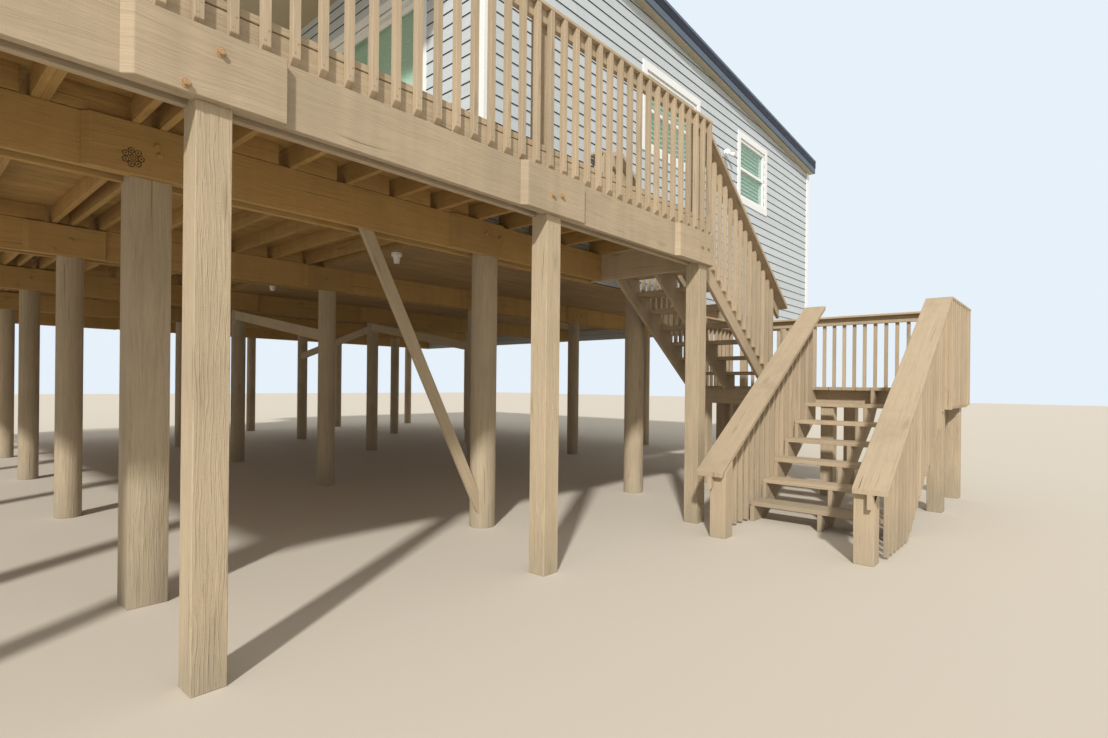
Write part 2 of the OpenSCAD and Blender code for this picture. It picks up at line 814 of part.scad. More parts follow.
// The sloping guard of the upper flight, its balusters plumb
module upper_guard(y_out, y_in, y_cap, run_out) {
    slope = upper_rise / upper_going;
    cap_t = ply * sqrt(1 + slope * slope);
    rail_t = rail_depth * sqrt(1 + slope * slope);
    finish = upper_foot + run_out;
    rail_low = deck_z + guard_height - (finish - deck_end) * slope;
    rail_high = deck_z + guard_height;
    side_plate(y_cap, y_cap + upper_cap_w, [
        [deck_end, rail_high], [finish, rail_low], [finish, rail_low - cap_t], [deck_end, rail_high - cap_t]
    ]);
    side_plate(y_in, y_in + ply, [
        [deck_end, rail_high - cap_t / 2], [finish, rail_low - cap_t / 2],
        [finish, rail_low - cap_t - rail_t], [deck_end, rail_high - cap_t - rail_t]
    ]);
    count = floor((upper_foot - deck_end) / stair_baluster_step);
    for (i = [0 : count - 1]) {
        x = deck_end + i * stair_baluster_step + (stair_baluster_step - baluster_side) / 2;
        high = rail_high - cap_t / 2 - (x - deck_end) * slope;
        low = deck_z - ply - upper_rise - (x - deck_end) * slope;
        side_plate(y_out, y_out + baluster_side, [
            [x, low], [x + baluster_side, low - baluster_side * slope],
            [x + baluster_side, high - baluster_side * slope], [x, high]
        ]);
    }
}

module upper_front_guard() color(timber) placed() {
    upper_guard(upper_setback, upper_setback + baluster_side, upper_setback, upper_run_out);
}

module upper_back_guard() color(timber) placed() {
    upper_guard(landing_back - baluster_side, landing_back - baluster_side - ply,
        landing_back - upper_cap_w, 0);
}

// Landing
module landing_posts() color(timber) placed() {
    top = landing_z - ply;
    front = landing_front + ply;
    middle = lower_back - ply - post_side;
    back = landing_back - ply - post_side;
    right = landing_right - ply - post_side;
    places = [
        [landing_left, front], [landing_left + head + ply, middle], [landing_left + ply, back],
        [right, front], [right, middle], [right, back]
    ];
    for (p = places) block([p[0], p[1], 0], [p[0] + post_side, p[1] + post_side, top]);
}

// Set back in front of the lower flight, between the corner posts
module landing_frame() color(timber) placed() {
    z0 = landing_z - ply - landing_beam;
    z1 = landing_z - ply;
    difference() {
        block([landing_left, landing_front, z0], [landing_right, landing_back, z1]);
        block([landing_left + ply, landing_front + ply, z0 - 1],
              [landing_right - ply, landing_back - ply, z1 + 1]);
        block([landing_left - 1, landing_front + ply, z0 - 1],
              [landing_left + head, lower_back - ply, z1 + 1]);
        block([landing_left - 1, lower_back - ply - 1, z0 - 1],
              [landing_left + ply + 1, lower_back, z1 + 1]);
    }
    block([landing_left + head, landing_front + ply, z0], [landing_left + head + ply, lower_back, z1]);
    block([landing_left + ply, lower_back, z0], [landing_left + head + ply, lower_back + ply, z1]);
}

module landing_floor() color(timber) placed() {
    block([landing_left, landing_front, landing_z - ply], [landing_right, landing_back, landing_z]);
}

module landing_guard() color(timber) placed() {
    foot = landing_z - ply - landing_beam;
    inset = cap_w - baluster_side;
    nosing = tread_depth - upper_going;
    post_inset = 25;
    side = landing_length + baluster_side;
    length = landing_back - landing_front - 2 * inset;
    cap_z = landing_z + landing_guard_height - cap_h;
    translate([landing_left, landing_front - baluster_side, 0]) {
        level_guard(side, landing_z, landing_guard_height, foot, stair_baluster_step, []);
        block([0, 0, foot], [ply, baluster_side, cap_z]);
        block([0, baluster_side, landing_z], [post_side, baluster_side + ply + post_side, cap_z]);
    }
    translate([landing_right + baluster_side, landing_front + inset, 0]) rotate(90)
        level_guard(length, landing_z, landing_guard_height, foot, stair_baluster_step,
            [post_inset, length - guard_post - post_inset]);
    translate([landing_right + baluster_side, landing_back + baluster_side, 0]) rotate(180)
        level_guard(side, landing_z, landing_guard_height, foot, stair_baluster_step,
            [side - guard_post - nosing - fit]);
}

// Lower flight
module lower_stringers() color(timber) placed() {
    middle = (lower_front + lower_back - ply) / 2;
    for (y = [lower_front, middle, lower_back - ply])
        stringer(y, landing_left, landing_z, 0, lower_risers - 1, lower_rise, lower_going, -1,
            y == middle ? head : 0);
}

module lower_treads() color(timber) placed() {
    treads(lower_front, lower_back, landing_left, landing_z,
        lower_risers - 1, lower_rise, lower_going, -1);
}

module lower_guard(y_out, y_in, y_cap) {
    slope = lower_rise / lower_going;
    stretch = sqrt(1 + slope * slope);
    cap_t = ply * stretch;
    high = landing_z + landing_guard_height;
    function rail(x) = high - (landing_left - x) * slope;
    side_plate(y_cap, y_cap + lower_cap_w, [
        [landing_left, rail(landing_left)], [rail_end, rail(rail_end)],
        [rail_end, rail(rail_end) - cap_t], [landing_left, rail(landing_left) - cap_t]
    ]);
    side_plate(y_in, y_in + ply, [
        [landing_left, rail(landing_left) - cap_t / 2], [rail_end, rail(rail_end) - cap_t / 2],
        [rail_end, rail(rail_end) - cap_t - rail_depth * stretch],
        [landing_left, rail(landing_left) - cap_t - rail_depth * stretch]
    ]);
    y_post = y_in < y_out ? y_in + ply - post_side : y_in;
    newel_out = rail_end + newel_overhang;
    newel_in = newel_out + post_side;
    side_plate(y_post, y_post + post_side, [
        [newel_out, 0], [newel_in, 0],
        [newel_in, rail(newel_in) - cap_t / 2], [newel_out, rail(newel_out) - cap_t / 2]
    ]);
    count = floor((landing_left - newel_in) / stair_baluster_step);
    for (i = [0 : count - 1]) {
        x = landing_left - stair_baluster_step * i - baluster_side;
        top = rail(x) - cap_t / 2;
        bottom = max(ground_gap, landing_z - lower_rise - ply - (landing_left - x) * slope);
        side_plate(y_out, y_out + baluster_side, [
            [x, bottom], [x + baluster_side, bottom],
            [x + baluster_side, top + baluster_side * slope], [x, top]
        ]);
    }
}

module lower_front_guard() color(timber) placed() {
    lower_guard(lower_front - baluster_side, lower_front, lower_front + ply / 2 - lower_cap_w / 2);
}

module lower_back_guard() color(timber) placed() {
    lower_guard(lower_back, lower_back - ply, lower_back - ply / 2 - lower_cap_w / 2);
}

// Round lamp holders with bulbs under the house floor
module underfloor_lamps() color(trim_white) placed() {
    bulb = lamp_drop - lamp_base;
    for (j = [0, 1])
        translate([house_left + lamp_x, row_y(j) + lamp_y, beam_top - panel_t - lamp_base]) {
            cylinder(h = lamp_base, d = lamp_d, $fn = round_fn);
            translate([0, 0, -bulb]) cylinder(h = bulb + 1, d1 = lamp_d * 0.5, d2 = lamp_d * 0.7, $fn = round_fn);
        }
}

deck_posts();
front_piles();
back_piles();
front_beam();
inner_beams();
rim_beam();
splice_boards();
deck_end_beam();
knee_braces();
deck_joists();
deck_floor();
house_floor();
underfloor_panels();
front_wall();
back_wall();
left_wall();
right_wall();
corner_boards();
window_casings();
window_sashes();
window_panes();
window_blinds();
door_frame();
door_panels();
door_panes();
door_blinds();
roof();
roof_edge();
porch_ceiling();
front_guard();
left_guard();
back_guard();
end_guard();
upper_stringers();
upper_treads();
upper_front_guard();
upper_back_guard();
landing_posts();
landing_frame();
landing_floor();
landing_guard();
lower_stringers();
lower_treads();
lower_front_guard();
lower_back_guard();
underfloor_lamps();
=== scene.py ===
import math
import random

import bmesh
import bpy
import numpy as np
from mathutils import Matrix, Vector


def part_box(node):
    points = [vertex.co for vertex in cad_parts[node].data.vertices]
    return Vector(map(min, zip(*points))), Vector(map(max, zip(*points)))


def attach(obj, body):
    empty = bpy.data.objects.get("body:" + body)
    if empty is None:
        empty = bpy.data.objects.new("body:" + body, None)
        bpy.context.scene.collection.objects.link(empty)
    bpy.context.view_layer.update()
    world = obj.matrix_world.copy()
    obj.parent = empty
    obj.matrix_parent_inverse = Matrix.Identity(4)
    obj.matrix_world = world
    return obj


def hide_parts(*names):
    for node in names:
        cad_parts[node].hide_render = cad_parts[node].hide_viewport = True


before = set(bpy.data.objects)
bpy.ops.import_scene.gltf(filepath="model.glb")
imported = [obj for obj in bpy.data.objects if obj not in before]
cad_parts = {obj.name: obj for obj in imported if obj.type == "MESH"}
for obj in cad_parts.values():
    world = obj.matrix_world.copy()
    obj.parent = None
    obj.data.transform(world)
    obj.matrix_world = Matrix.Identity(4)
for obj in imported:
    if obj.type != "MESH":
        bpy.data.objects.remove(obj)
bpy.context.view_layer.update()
chance = random.Random(7)

# Viewpoint: eye height and place on the ground in metres, turns in degrees
CAMERA_PLACE = (-5.425, -8.692, 1.275)
CAMERA_YAW = 48.63
CAMERA_ROLL = 0.57
FOCAL_PX = 603.0
PHOTO_W = 1108
HORIZON_SHIFT = 0.0142

# Light: where the sun stands, its strength, spread in degrees and colour, and the sky's
SUN_FROM = (-0.69, -0.45, 0.57)
SUN_STRENGTH = 3.3
SUN_SPREAD = 3
SUN_COLOUR = (1.0, 0.96, 0.90)
SKY_STRENGTH = 0.62
SKY_LIGHT = (1.0, 0.95, 0.87, 1)
SKY_SHOWN = (0.80, 0.88, 0.96, 1)

# Ground: its colour and half its width in metres
FLOOR_COLOUR = (0.62, 0.575, 0.50)
FLOOR_REACH = 60.0

# Boards, in metres: a plank's thickness, a board's width and the gap beside it, eased edges
PLY = 0.038
BOARD_W = 0.140
BOARD_GAP = 0.005
EASE = 0.003
ROD_EASE = 0.002

# Guards: balusters and their spacing, posts, rails, nails and caps
BALUSTER = 0.038
BALUSTER_STEP = 0.1335
STAIR_STEP = 0.125
BALUSTER_END = 0.016
GUARD_POST = 0.089
POST_INSET = 0.025
RAIL_DEPTH = 0.089
NAIL_RADIUS = 0.0045
NAIL_PROUD = 0.0012
CAP_W = 0.140
CAP_H = 0.026
CAP_LIP = 0.002
SLOPED_CAP_W = 0.235
UPPER_CAP_W = 0.165
UPPER_CAP_OUT = 0.065

# Stairs
UPPER_RISERS = 9
UPPER_RUN_OUT = 0.150
LOWER_RISERS = 7
LOWER_GOING = 0.288
NEWEL_OVERHANG = 0.055

# Piles and joists: places along X are from the deck's left side
PILE_RADIUS = 0.1275
SQUARE_PILE_AT = 2.32
JOIST_STEP = 0.406
FIRST_JOIST = 0.264
JOIST_LAP = 0.132
NEAR_SHIFT = 0.055
BLOCK_GAP = 0.060
BEAM_PAIR = 0.200

# Siding and roof: a lap's height, how far its foot and top stand out, and the roof's fall for each metre
LAP = 0.128
LAP_PROUD = 0.011
LAP_TOP = 0.002
ROOF_SLOPE = 0.076

# How far inside the deck's outer faces the painted shade under the deck begins
SKIN = 0.004


# Camera, light and floor
def add_object(name, data):
    made = bpy.data.objects.new(name, data)
    bpy.context.collection.objects.link(made)
    return made


def make_camera():
    data = bpy.data.cameras.new("eye_level")
    data.sensor_width = 36.0
    data.lens = FOCAL_PX / PHOTO_W * data.sensor_width
    data.shift_y = HORIZON_SHIFT
    data.clip_start = 0.05
    camera = add_object("eye_level", data)
    turn = Matrix.Rotation(math.radians(-CAMERA_YAW), 4, "Z") @ Matrix.Rotation(math.pi / 2, 4, "X")
    roll = Matrix.Rotation(math.radians(CAMERA_ROLL), 4, "Z")
    camera.matrix_world = Matrix.Translation(CAMERA_PLACE) @ turn @ roll
    bpy.context.scene.camera = camera


def make_light():
    """A sun and an even warm sky, which the camera and reflections see as pale blue."""
    sun = bpy.data.lights.new("sun", "SUN")
    sun.energy = SUN_STRENGTH
    sun.angle = math.radians(SUN_SPREAD)
    sun.color = SUN_COLOUR
    add_object("sun", sun).rotation_euler = Vector(SUN_FROM).to_track_quat("Z", "Y").to_euler()
    world = bpy.data.worlds.new("pale_sky")
    bpy.context.scene.world = world
    world.use_nodes = True
    graph = Graph(world.node_tree)
    light = world.node_tree.nodes["Background"]
    graph.feed(light.inputs["Color"], SKY_LIGHT)
    graph.feed(light.inputs["Strength"], SKY_STRENGTH)
    shown = graph.node("ShaderNodeBackground", {"Color": SKY_SHOWN, "Strength": 1.0})
    path = graph.node("ShaderNodeLightPath").outputs
    seen = graph.math("MAXIMUM", path["Is Camera Ray"], path["Is Glossy Ray"])
    mix = graph.node("ShaderNodeMixShader", {0: seen, 1: light.outputs[0], 2: shown.outputs[0]})
    graph.feed(world.node_tree.nodes["World Output"].inputs["Surface"], mix.outputs[0])
    bpy.context.scene.view_settings.view_transform = "Standard"


def make_floor():
    mesh = bpy.data.meshes.new("floor")
    corners = rectangle(-FLOOR_REACH, -FLOOR_REACH, FLOOR_REACH, FLOOR_REACH)
    mesh.from_pydata([(x, y, 0) for x, y in corners], [], [(0, 1, 2, 3)])
    mesh.materials.append(new_material("floor_paint", FLOOR_COLOUR, 0.9)[0])
    add_object("floor", mesh)


# Shader helpers
def new_material(name, colour, roughness):
    """A material, its shader and a graph for the nodes that feed the shader."""
    material = bpy.data.materials.new(name)
    material.use_nodes = True
    shader = material.node_tree.nodes["Principled BSDF"]
    shader.inputs["Base Color"].default_value = (*colour, 1)
    shader.inputs["Roughness"].default_value = roughness
    return material, shader, Graph(material.node_tree)


class Graph:
    """Adds nodes to one tree, with plain values or sockets as inputs."""

    def __init__(self, tree):
        self.tree = tree

    def node(self, kind, values=None, **settings):
        made = self.tree.nodes.new(kind)
        for key, value in settings.items():
            setattr(made, key, value)
        for key, value in (values or {}).items():
            self.feed(made.inputs[key], value)
        return made

    def feed(self, socket, value):
        if isinstance(value, bpy.types.NodeSocket):
            self.tree.links.new(value, socket)
        else:
            socket.default_value = value

    def place(self):
        """The point's own place in metres."""
        return self.node("ShaderNodeTexCoord").outputs["Object"]

    def math(self, operation, *values):
        made = self.tree.nodes.new("ShaderNodeMath")
        made.operation = operation
        for i, value in enumerate(values):
            self.feed(made.inputs[i], value)
        return made.outputs[0]

    def times(self, a, b):
        return self.math("MULTIPLY", a, b)

    def ramp(self, value, low, high, out_low=0.0, out_high=1.0):
        made = self.node("ShaderNodeMapRange", {
            "Value": value, "From Min": low, "From Max": high, "To Min": out_low, "To Max": out_high})
        return made.outputs["Result"]

    def noise(self, vector, scale, detail=3.0, rough=0.5, distortion=0.0):
        values = {"Vector": vector, "Scale": scale, "Detail": detail, "Roughness": rough,
                  "Distortion": distortion}
        return self.node("ShaderNodeTexNoise", values).outputs[0]

    def flat_noise(self, vector, scale, detail=1.0, rough=0.5):
        """Noise on a flat map, with a scale for each of its two axes."""
        values = {"Vector": self.scaled(vector, (*scale, 1)), "Scale": 1.0, "Detail": detail,
                  "Roughness": rough}
        return self.node("ShaderNodeTexNoise", values, noise_dimensions="2D").outputs[0]

    def vector(self, **parts):
        return self.node("ShaderNodeCombineXYZ", parts).outputs[0]

    def shifted(self, vector, other):
        return self.node("ShaderNodeVectorMath", {0: vector, 1: other}, operation="ADD").outputs[0]

    def scaled(self, vector, scale):
        return self.node("ShaderNodeMapping", {"Vector": vector, "Scale": scale}).outputs[0]

    def blend(self, factor, a, b, kind="MIX"):
        made = self.tree.nodes.new("ShaderNodeMix")
        made.data_type = "RGBA"
        made.blend_type = kind
        self.feed(made.inputs[0], factor)
        self.feed(made.inputs[6], a)
        self.feed(made.inputs[7], b)
        return made.outputs[2]

    def coat(self, shader, colour, height, strength, distance):
        """Gives the shader its colour and a relief from height, distance metres deep."""
        bump = self.node("ShaderNodeBump", {"Height": height, "Strength": strength, "Distance": distance})
        self.feed(shader.inputs["Base Color"], colour)
        self.feed(shader.inputs["Normal"], bump.outputs[0])


def new_group(name, inputs, outputs):
    """A node group with number sockets, its inputs with their defaults."""
    tree = bpy.data.node_groups.new(name, "ShaderNodeTree")
    for label, value in inputs.items():
        socket = tree.interface.new_socket(label, in_out="INPUT", socket_type="NodeSocketFloat")
        socket.default_value = value
    for label in outputs:
        tree.interface.new_socket(label, in_out="OUTPUT", socket_type="NodeSocketFloat")
    start = tree.nodes.new("NodeGroupInput")
    end = tree.nodes.new("NodeGroupOutput")
    return Graph(tree), start.outputs, end.inputs


def rgb(r, g, b):
    return (r, g, b, 1.0)


def tint(paint, factor):
    return rgb(*(factor * c for c in paint))


# Rough-sawn timber under paint: grain runs along U of the map named grain, and each board starts elsewhere
def make_grain_group():
    graph, given, out = new_group("sawn_grain", {"Board": 0.0, "Depth": 1.0},
                                  ("Grain", "Knot", "Split", "Height"))
    shift = graph.vector(X=graph.times(given["Board"], 31.0))
    uv = graph.shifted(graph.node("ShaderNodeUVMap", uv_map="grain").outputs[0], shift)
    warp = graph.flat_noise(uv, (1.6, 7.0), 2.0)
    bend = graph.vector(Y=graph.times(warp, 0.05))
    bent = graph.shifted(uv, bend)
    fine = graph.flat_noise(bent, (7.0, 260.0), 3.0, 0.65)
    broad = graph.flat_noise(bent, (1.3, 42.0), 2.0, 0.6)
    grain = graph.math("ADD", graph.times(fine, 0.55), graph.times(broad, 0.45))
    strand = graph.ramp(graph.flat_noise(bent, (2.4, 88.0), 2.0, 0.6), 0.53, 0.60)
    cell = graph.node("ShaderNodeTexVoronoi", {
        "Vector": graph.scaled(bent, (1.15, 5.2, 1)), "Scale": 1.0, "Randomness": 1.0},
        voronoi_dimensions="2D")
    few = graph.math("GREATER_THAN", cell.outputs["Color"], 0.66)
    knot = graph.times(few, graph.ramp(cell.outputs["Distance"], 0.12, 0.045))
    split = graph.ramp(graph.flat_noise(bent, (0.9, 95.0)), 0.79, 0.83)
    saw = graph.flat_noise(uv, (330.0, 22.0), 0.0)
    height = grain
    for relief, share in ((saw, 0.22), (strand, 0.5), (split, -1.1), (knot, -0.35)):
        height = graph.math("ADD", height, graph.times(relief, share))
    graph.feed(out["Grain"], grain)
    graph.feed(out["Knot"], knot)
    graph.feed(out["Split"], split)
    graph.feed(out["Height"], graph.times(height, given["Depth"]))
    return graph.tree


# Grime and painted shade: damp blotches, splashes near the ground, and a mask for what stands under the deck,
# where the paint gets a warm painted shade
def make_grime_and_shade_group():
    graph, given, out = new_group("grime", {"Amount": 0.5, "From": 0.0}, ("Blotch", "Splash", "PaintedShade"))
    place = graph.place()
    blotch = graph.noise(place, 1.4, 2.0, 0.62)
    streak = graph.noise(graph.scaled(place, (9.0, 9.0, 0.8)), 1.0, 1.0, 0.6)
    mixed = graph.math("ADD", graph.times(blotch, 0.6), graph.times(streak, 0.4))
    part = graph.node("ShaderNodeSeparateXYZ", {0: place}).outputs
    height = part["Z"]
    reach = graph.math("ADD", height, graph.ramp(streak, 0.3, 0.7, -0.12, 0.12))
    graph.feed(out["Blotch"], graph.times(graph.ramp(mixed, 0.46, 0.72), given["Amount"]))
    graph.feed(out["Splash"], graph.ramp(reach, 0.34, 0.02))
    # What stands under the deck, inside its outer faces, gets the warm painted shade.
    behind = graph.math("GREATER_THAN", part["Y"], given["From"])
    below = graph.math("LESS_THAN", height, DECK_HIGH[2] - SKIN)
    inside = graph.math("GREATER_THAN", part["X"], DECK_LOW[0] + PLY + SKIN)
    before = graph.math("LESS_THAN", part["Y"], DECK_HIGH[1] - PLY - SKIN)
    sides = graph.times(graph.times(behind, before), inside)
    graph.feed(out["PaintedShade"], graph.times(sides, below))
    return graph.tree


def use_group(graph, tree, **values):
    made = graph.tree.nodes.new("ShaderNodeGroup")
    made.node_tree = tree
    for label, value in values.items():
        graph.feed(made.inputs[label], value)
    return made.outputs


def painted_timber(name, paint, worn, depth=1.0, grime=0.5, rough=0.78, painted_shade=0.0, painted_shade_from=0.0):
    """Paint over sawn timber. paint and worn are its colour and the colour in the grain's hollows.
    painted_shade is how strongly a warm brown painted shade darkens the paint under the deck, past
    painted_shade_from in Y."""
    material, shader, graph = new_material(name, paint, rough)
    tone = graph.node("ShaderNodeAttribute", attribute_name="tone").outputs["Fac"]
    grain = use_group(graph, SAWN, Board=tone, Depth=depth)
    dirt_and_shade = use_group(graph, GRIME_AND_SHADE, Amount=grime, From=painted_shade_from)
    shade = graph.ramp(tone, 0.0, 1.0, 0.90, 1.07)
    hollow = graph.ramp(grain["Grain"], 0.58, 0.32)
    colour = graph.blend(graph.times(hollow, 0.55), rgb(*paint), rgb(*worn))
    colour = graph.blend(graph.times(grain["Knot"], 0.3), colour, tint(worn, 0.45))
    colour = graph.blend(graph.times(grain["Split"], 0.85), colour, tint(worn, 0.22))
    colour = graph.blend(dirt_and_shade["Blotch"], colour, tint(paint, 0.62))
    colour = graph.blend(graph.times(dirt_and_shade["Splash"], 0.45), colour, rgb(0.30, 0.27, 0.21))
    # Painted shade: under the deck the paint is multiplied by a warm brown, the colour of the deck's shade.
    colour = graph.blend(graph.times(dirt_and_shade["PaintedShade"], painted_shade), colour, PAINTED_SHADE_TINT, "MULTIPLY")
    grey = graph.node("ShaderNodeCombineColor", {"Red": shade, "Green": shade, "Blue": shade}).outputs[0]
    colour = graph.blend(1.0, colour, grey, "MULTIPLY")
    graph.coat(shader, colour, grain["Height"], 0.6, 0.0045)
    graph.feed(shader.inputs["Roughness"], graph.ramp(grain["Grain"], 0.3, 0.7, rough + 0.08, rough - 0.08))
    shader.inputs["Specular IOR Level"].default_value = 0.3
    return material


def smooth_paint(name, paint, rough=0.5, grain=0.25, grime=0.25):
    """Smooth painted trim or vinyl, with faint brush marks and weathering."""
    material, shader, graph = new_material(name, paint, rough)
    dirt_and_shade = use_group(graph, GRIME_AND_SHADE, Amount=grime)
    brushed = graph.noise(graph.place(), 60.0, 3.0, 0.6)
    graph.coat(shader, graph.blend(dirt_and_shade["Blotch"], rgb(*paint), tint(paint, 0.74)), brushed, grain, 0.001)
    graph.feed(shader.inputs["Roughness"], graph.ramp(brushed, 0.3, 0.7, rough - 0.07, rough + 0.07))
    return material


def lap_paint():
    """Light grey paint on lapped boards with a pressed grain along them and a near-black painted shade line
    on each lap's underside and foot.
    """
    paint = (0.55, 0.61, 0.655)
    material, shader, graph = new_material("lap_paint", paint, 0.7)
    part = graph.node("ShaderNodeSeparateXYZ", {0: graph.place()}).outputs
    along = graph.math("ADD", part["X"], part["Y"])
    grain = graph.flat_noise(graph.vector(X=along, Y=part["Z"]), (5.0, 170.0), 3.0, 0.6)
    board = graph.math("FLOOR", graph.math("DIVIDE", part["Z"], LAP))
    tone = graph.flat_noise(graph.vector(X=along, Y=board), (0.35, 3.7), 0.0)
    dirt_and_shade = use_group(graph, GRIME_AND_SHADE, Amount=0.22)
    colour = graph.blend(graph.ramp(tone, 0.3, 0.7), tint(paint, 0.955), tint(paint, 1.03))
    colour = graph.blend(graph.ramp(grain, 0.55, 0.35, 0, 0.35), colour, tint(paint, 0.84))
    colour = graph.blend(dirt_and_shade["Blotch"], colour, rgb(0.40, 0.43, 0.44))
    # Painted shade: a near-black band on each board's underside and foot, where the lap above shades it.
    from_base = graph.math("ADD", part["Z"], 0.001 - SIDING_BASE)
    phase = graph.math("FRACT", graph.math("DIVIDE", from_base, LAP))
    colour = graph.blend(graph.ramp(phase, 0.042, 0.036), colour, rgb(0.022, 0.026, 0.030))
    graph.coat(shader, colour, grain, 0.35, 0.0015)
    return material


def plywood():
    """Dark brown plywood, darker than the timber, with damp marks."""
    material, shader, graph = new_material("dark_brown_plywood", (0.32, 0.235, 0.14), 0.8)
    place = graph.place()
    veneer = graph.noise(graph.scaled(place, (1.2, 14.0, 1.0)), 1.0, 5.0, 0.6, distortion=0.7)
    blotch = graph.noise(place, 0.8, 5.0, 0.65)
    colour = graph.blend(graph.ramp(veneer, 0.35, 0.65), rgb(0.30, 0.19, 0.085), rgb(0.44, 0.295, 0.14))
    colour = graph.blend(graph.ramp(blotch, 0.5, 0.72, 0, 0.55), colour, rgb(0.21, 0.165, 0.085))
    graph.coat(shader, colour, veneer, 0.25, 0.002)
    return material


def dark_sheet(name, paint, rough):
    """Coated metal sheet with a faint wave, and dust."""
    material, shader, graph = new_material(name, paint, rough)
    place = graph.place()
    wave = graph.noise(place, 2.2, 2.0)
    dust = graph.noise(place, 9.0, 5.0, 0.65)
    dusty = rgb(*(0.04 + 0.9 * c for c in paint))
    colour = graph.blend(graph.ramp(dust, 0.45, 0.75, 0, 0.2), rgb(*paint), dusty)
    graph.coat(shader, colour, wave, 0.2, 0.01)
    graph.feed(shader.inputs["Roughness"], graph.ramp(dust, 0.3, 0.7, rough - 0.06, rough + 0.12))
    shader.inputs["Specular IOR Level"].default_value = 0.25
    return material


def green_glass():
    material, shader, _ = new_material("green_glass", (0.38, 0.66, 0.52), 0.04)
    shader.inputs["Alpha"].default_value = 0.30
    shader.inputs["IOR"].default_value = 1.5
    shader.inputs["Coat Weight"].default_value = 0.5
    shader.inputs["Coat Roughness"].default_value = 0.02
    return material


def rusty_steel():
    material, shader, graph = new_material("rusty_steel", (0.24, 0.13, 0.07), 0.75)
    scale = graph.noise(graph.place(), 160.0, 4.0, 0.7)
    colour = graph.blend(graph.ramp(scale, 0.35, 0.65), rgb(0.54, 0.39, 0.22), rgb(0.32, 0.165, 0.07))
    graph.coat(shader, colour, scale, 0.5, 0.001)
    graph.feed(shader.inputs["Metallic"], graph.ramp(scale, 0.5, 0.7, 0.0, 0.2))
    return material


def dark_knot():
    """Resin-stained wood that shows through the paint."""
    material, shader, graph = new_material("dark_knot", (0.075, 0.038, 0.014), 0.6)
    stain = graph.noise(graph.place(), 240.0, 3.0, 0.6)
    colour = graph.blend(graph.ramp(stain, 0.35, 0.65), rgb(0.055, 0.028, 0.010), rgb(0.13, 0.075, 0.03))
    graph.coat(shader, colour, stain, 0.4, 0.0008)
    return material


DECK_LOW, DECK_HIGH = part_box("deck_floor")
FRONT_ROW_Y = sum(edge[1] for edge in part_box("front_piles")) / 2
SIDING_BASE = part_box("front_wall")[0][2]
# The warm brown of the painted shade under the deck.
PAINTED_SHADE_TINT = rgb(0.92, 0.73, 0.40)
SAWN = make_grain_group()
GRIME_AND_SHADE = make_grime_and_shade_group()
MATERIALS = {
    "timber": painted_timber("taupe_timber", (0.50, 0.405, 0.285), (0.39, 0.305, 0.20), 0.5),
    # Beam timber: the timber paint with a warm painted shade under the deck.
    "beam": painted_timber("taupe_beam", (0.50, 0.405, 0.285), (0.38, 0.295, 0.19), 0.6,
                           painted_shade=1.0, painted_shade_from=FRONT_ROW_Y - 0.16),
    "post": painted_timber("taupe_post", (0.52, 0.425, 0.295), (0.42, 0.335, 0.225), 1.5, 0.4),
    "pile": painted_timber("taupe_pile", (0.50, 0.415, 0.295), (0.34, 0.27, 0.18), 1.5, 0.6, 0.82),
    # Deck boards and joists get the same warm painted shade under the deck.
    "under": painted_timber("under_deck_timber", (0.51, 0.415, 0.29), (0.34, 0.255, 0.16), 0.8, 0.6,
                            painted_shade=1.0, painted_shade_from=DECK_LOW[1] + PLY + SKIN),
    "lap": lap_paint(),
    "trim": smooth_paint("white_trim", (0.84, 0.865, 0.88), 0.5, 0.3, 0.2),
    "vinyl": smooth_paint("white_vinyl", (0.85, 0.87, 0.88), 0.35, 0.08, 0.15),
    # Painted light: the white slats are tinted green for the light that reaches them, and the eye, through
    # the green glass.
    "blind": smooth_paint("blind_slat", (0.72, 0.86, 0.74), 0.5, 0.05, 0.1),
    "plywood": plywood(),
    "roof": dark_sheet("roof_sheet", (0.010, 0.012, 0.022), 0.5),
    "fascia": dark_sheet("fascia_paint", (0.10, 0.135, 0.185), 0.5),
    "soffit": smooth_paint("tan_soffit", (0.44, 0.39, 0.28), 0.6, 0.2, 0.2),
    "glass": green_glass(),
    "rust": rusty_steel(),
    "knot": dark_knot(),
}


# Meshes
def mesh_of(bm, name):
    """The mesh of finished mesh data, which is freed."""
    mesh = bpy.data.meshes.new(name)
    bm.to_mesh(mesh)
    bm.free()
    return mesh


def applied(holder):
    """The mesh of an object with its modifiers applied. The object is removed."""
    bpy.context.view_layer.update()
    ready = holder.evaluated_get(bpy.context.evaluated_depsgraph_get())
    mesh = bpy.data.meshes.new_from_object(ready)
    bpy.data.objects.remove(holder)
    return mesh


def turned(mesh, angle, place):
    """The mesh turned about the vertical and moved to its place."""
    mesh.transform(Matrix.Translation(place) @ Matrix.Rotation(angle, 4, "Z"))
    return mesh


def circle(x, z, radius, sides):
    """Points round (x, z), from its right side on."""
    turns = np.arange(sides) * 2 * math.pi / sides
    return [(x + radius * math.cos(a), z + radius * math.sin(a)) for a in turns]


def rectangle(x0, z0, x1, z1):
    return [(x0, z0), (x1, z0), (x1, z1), (x0, z1)]


# How an outline's two numbers and the depth become a place, for each axis that the depth runs along
PLACES = {
    "x": (lambda a, b, t: (t, a, b)),
    "y": (lambda a, b, t: (a, t, b)),
    "z": (lambda a, b, t: (a, b, t)),
}


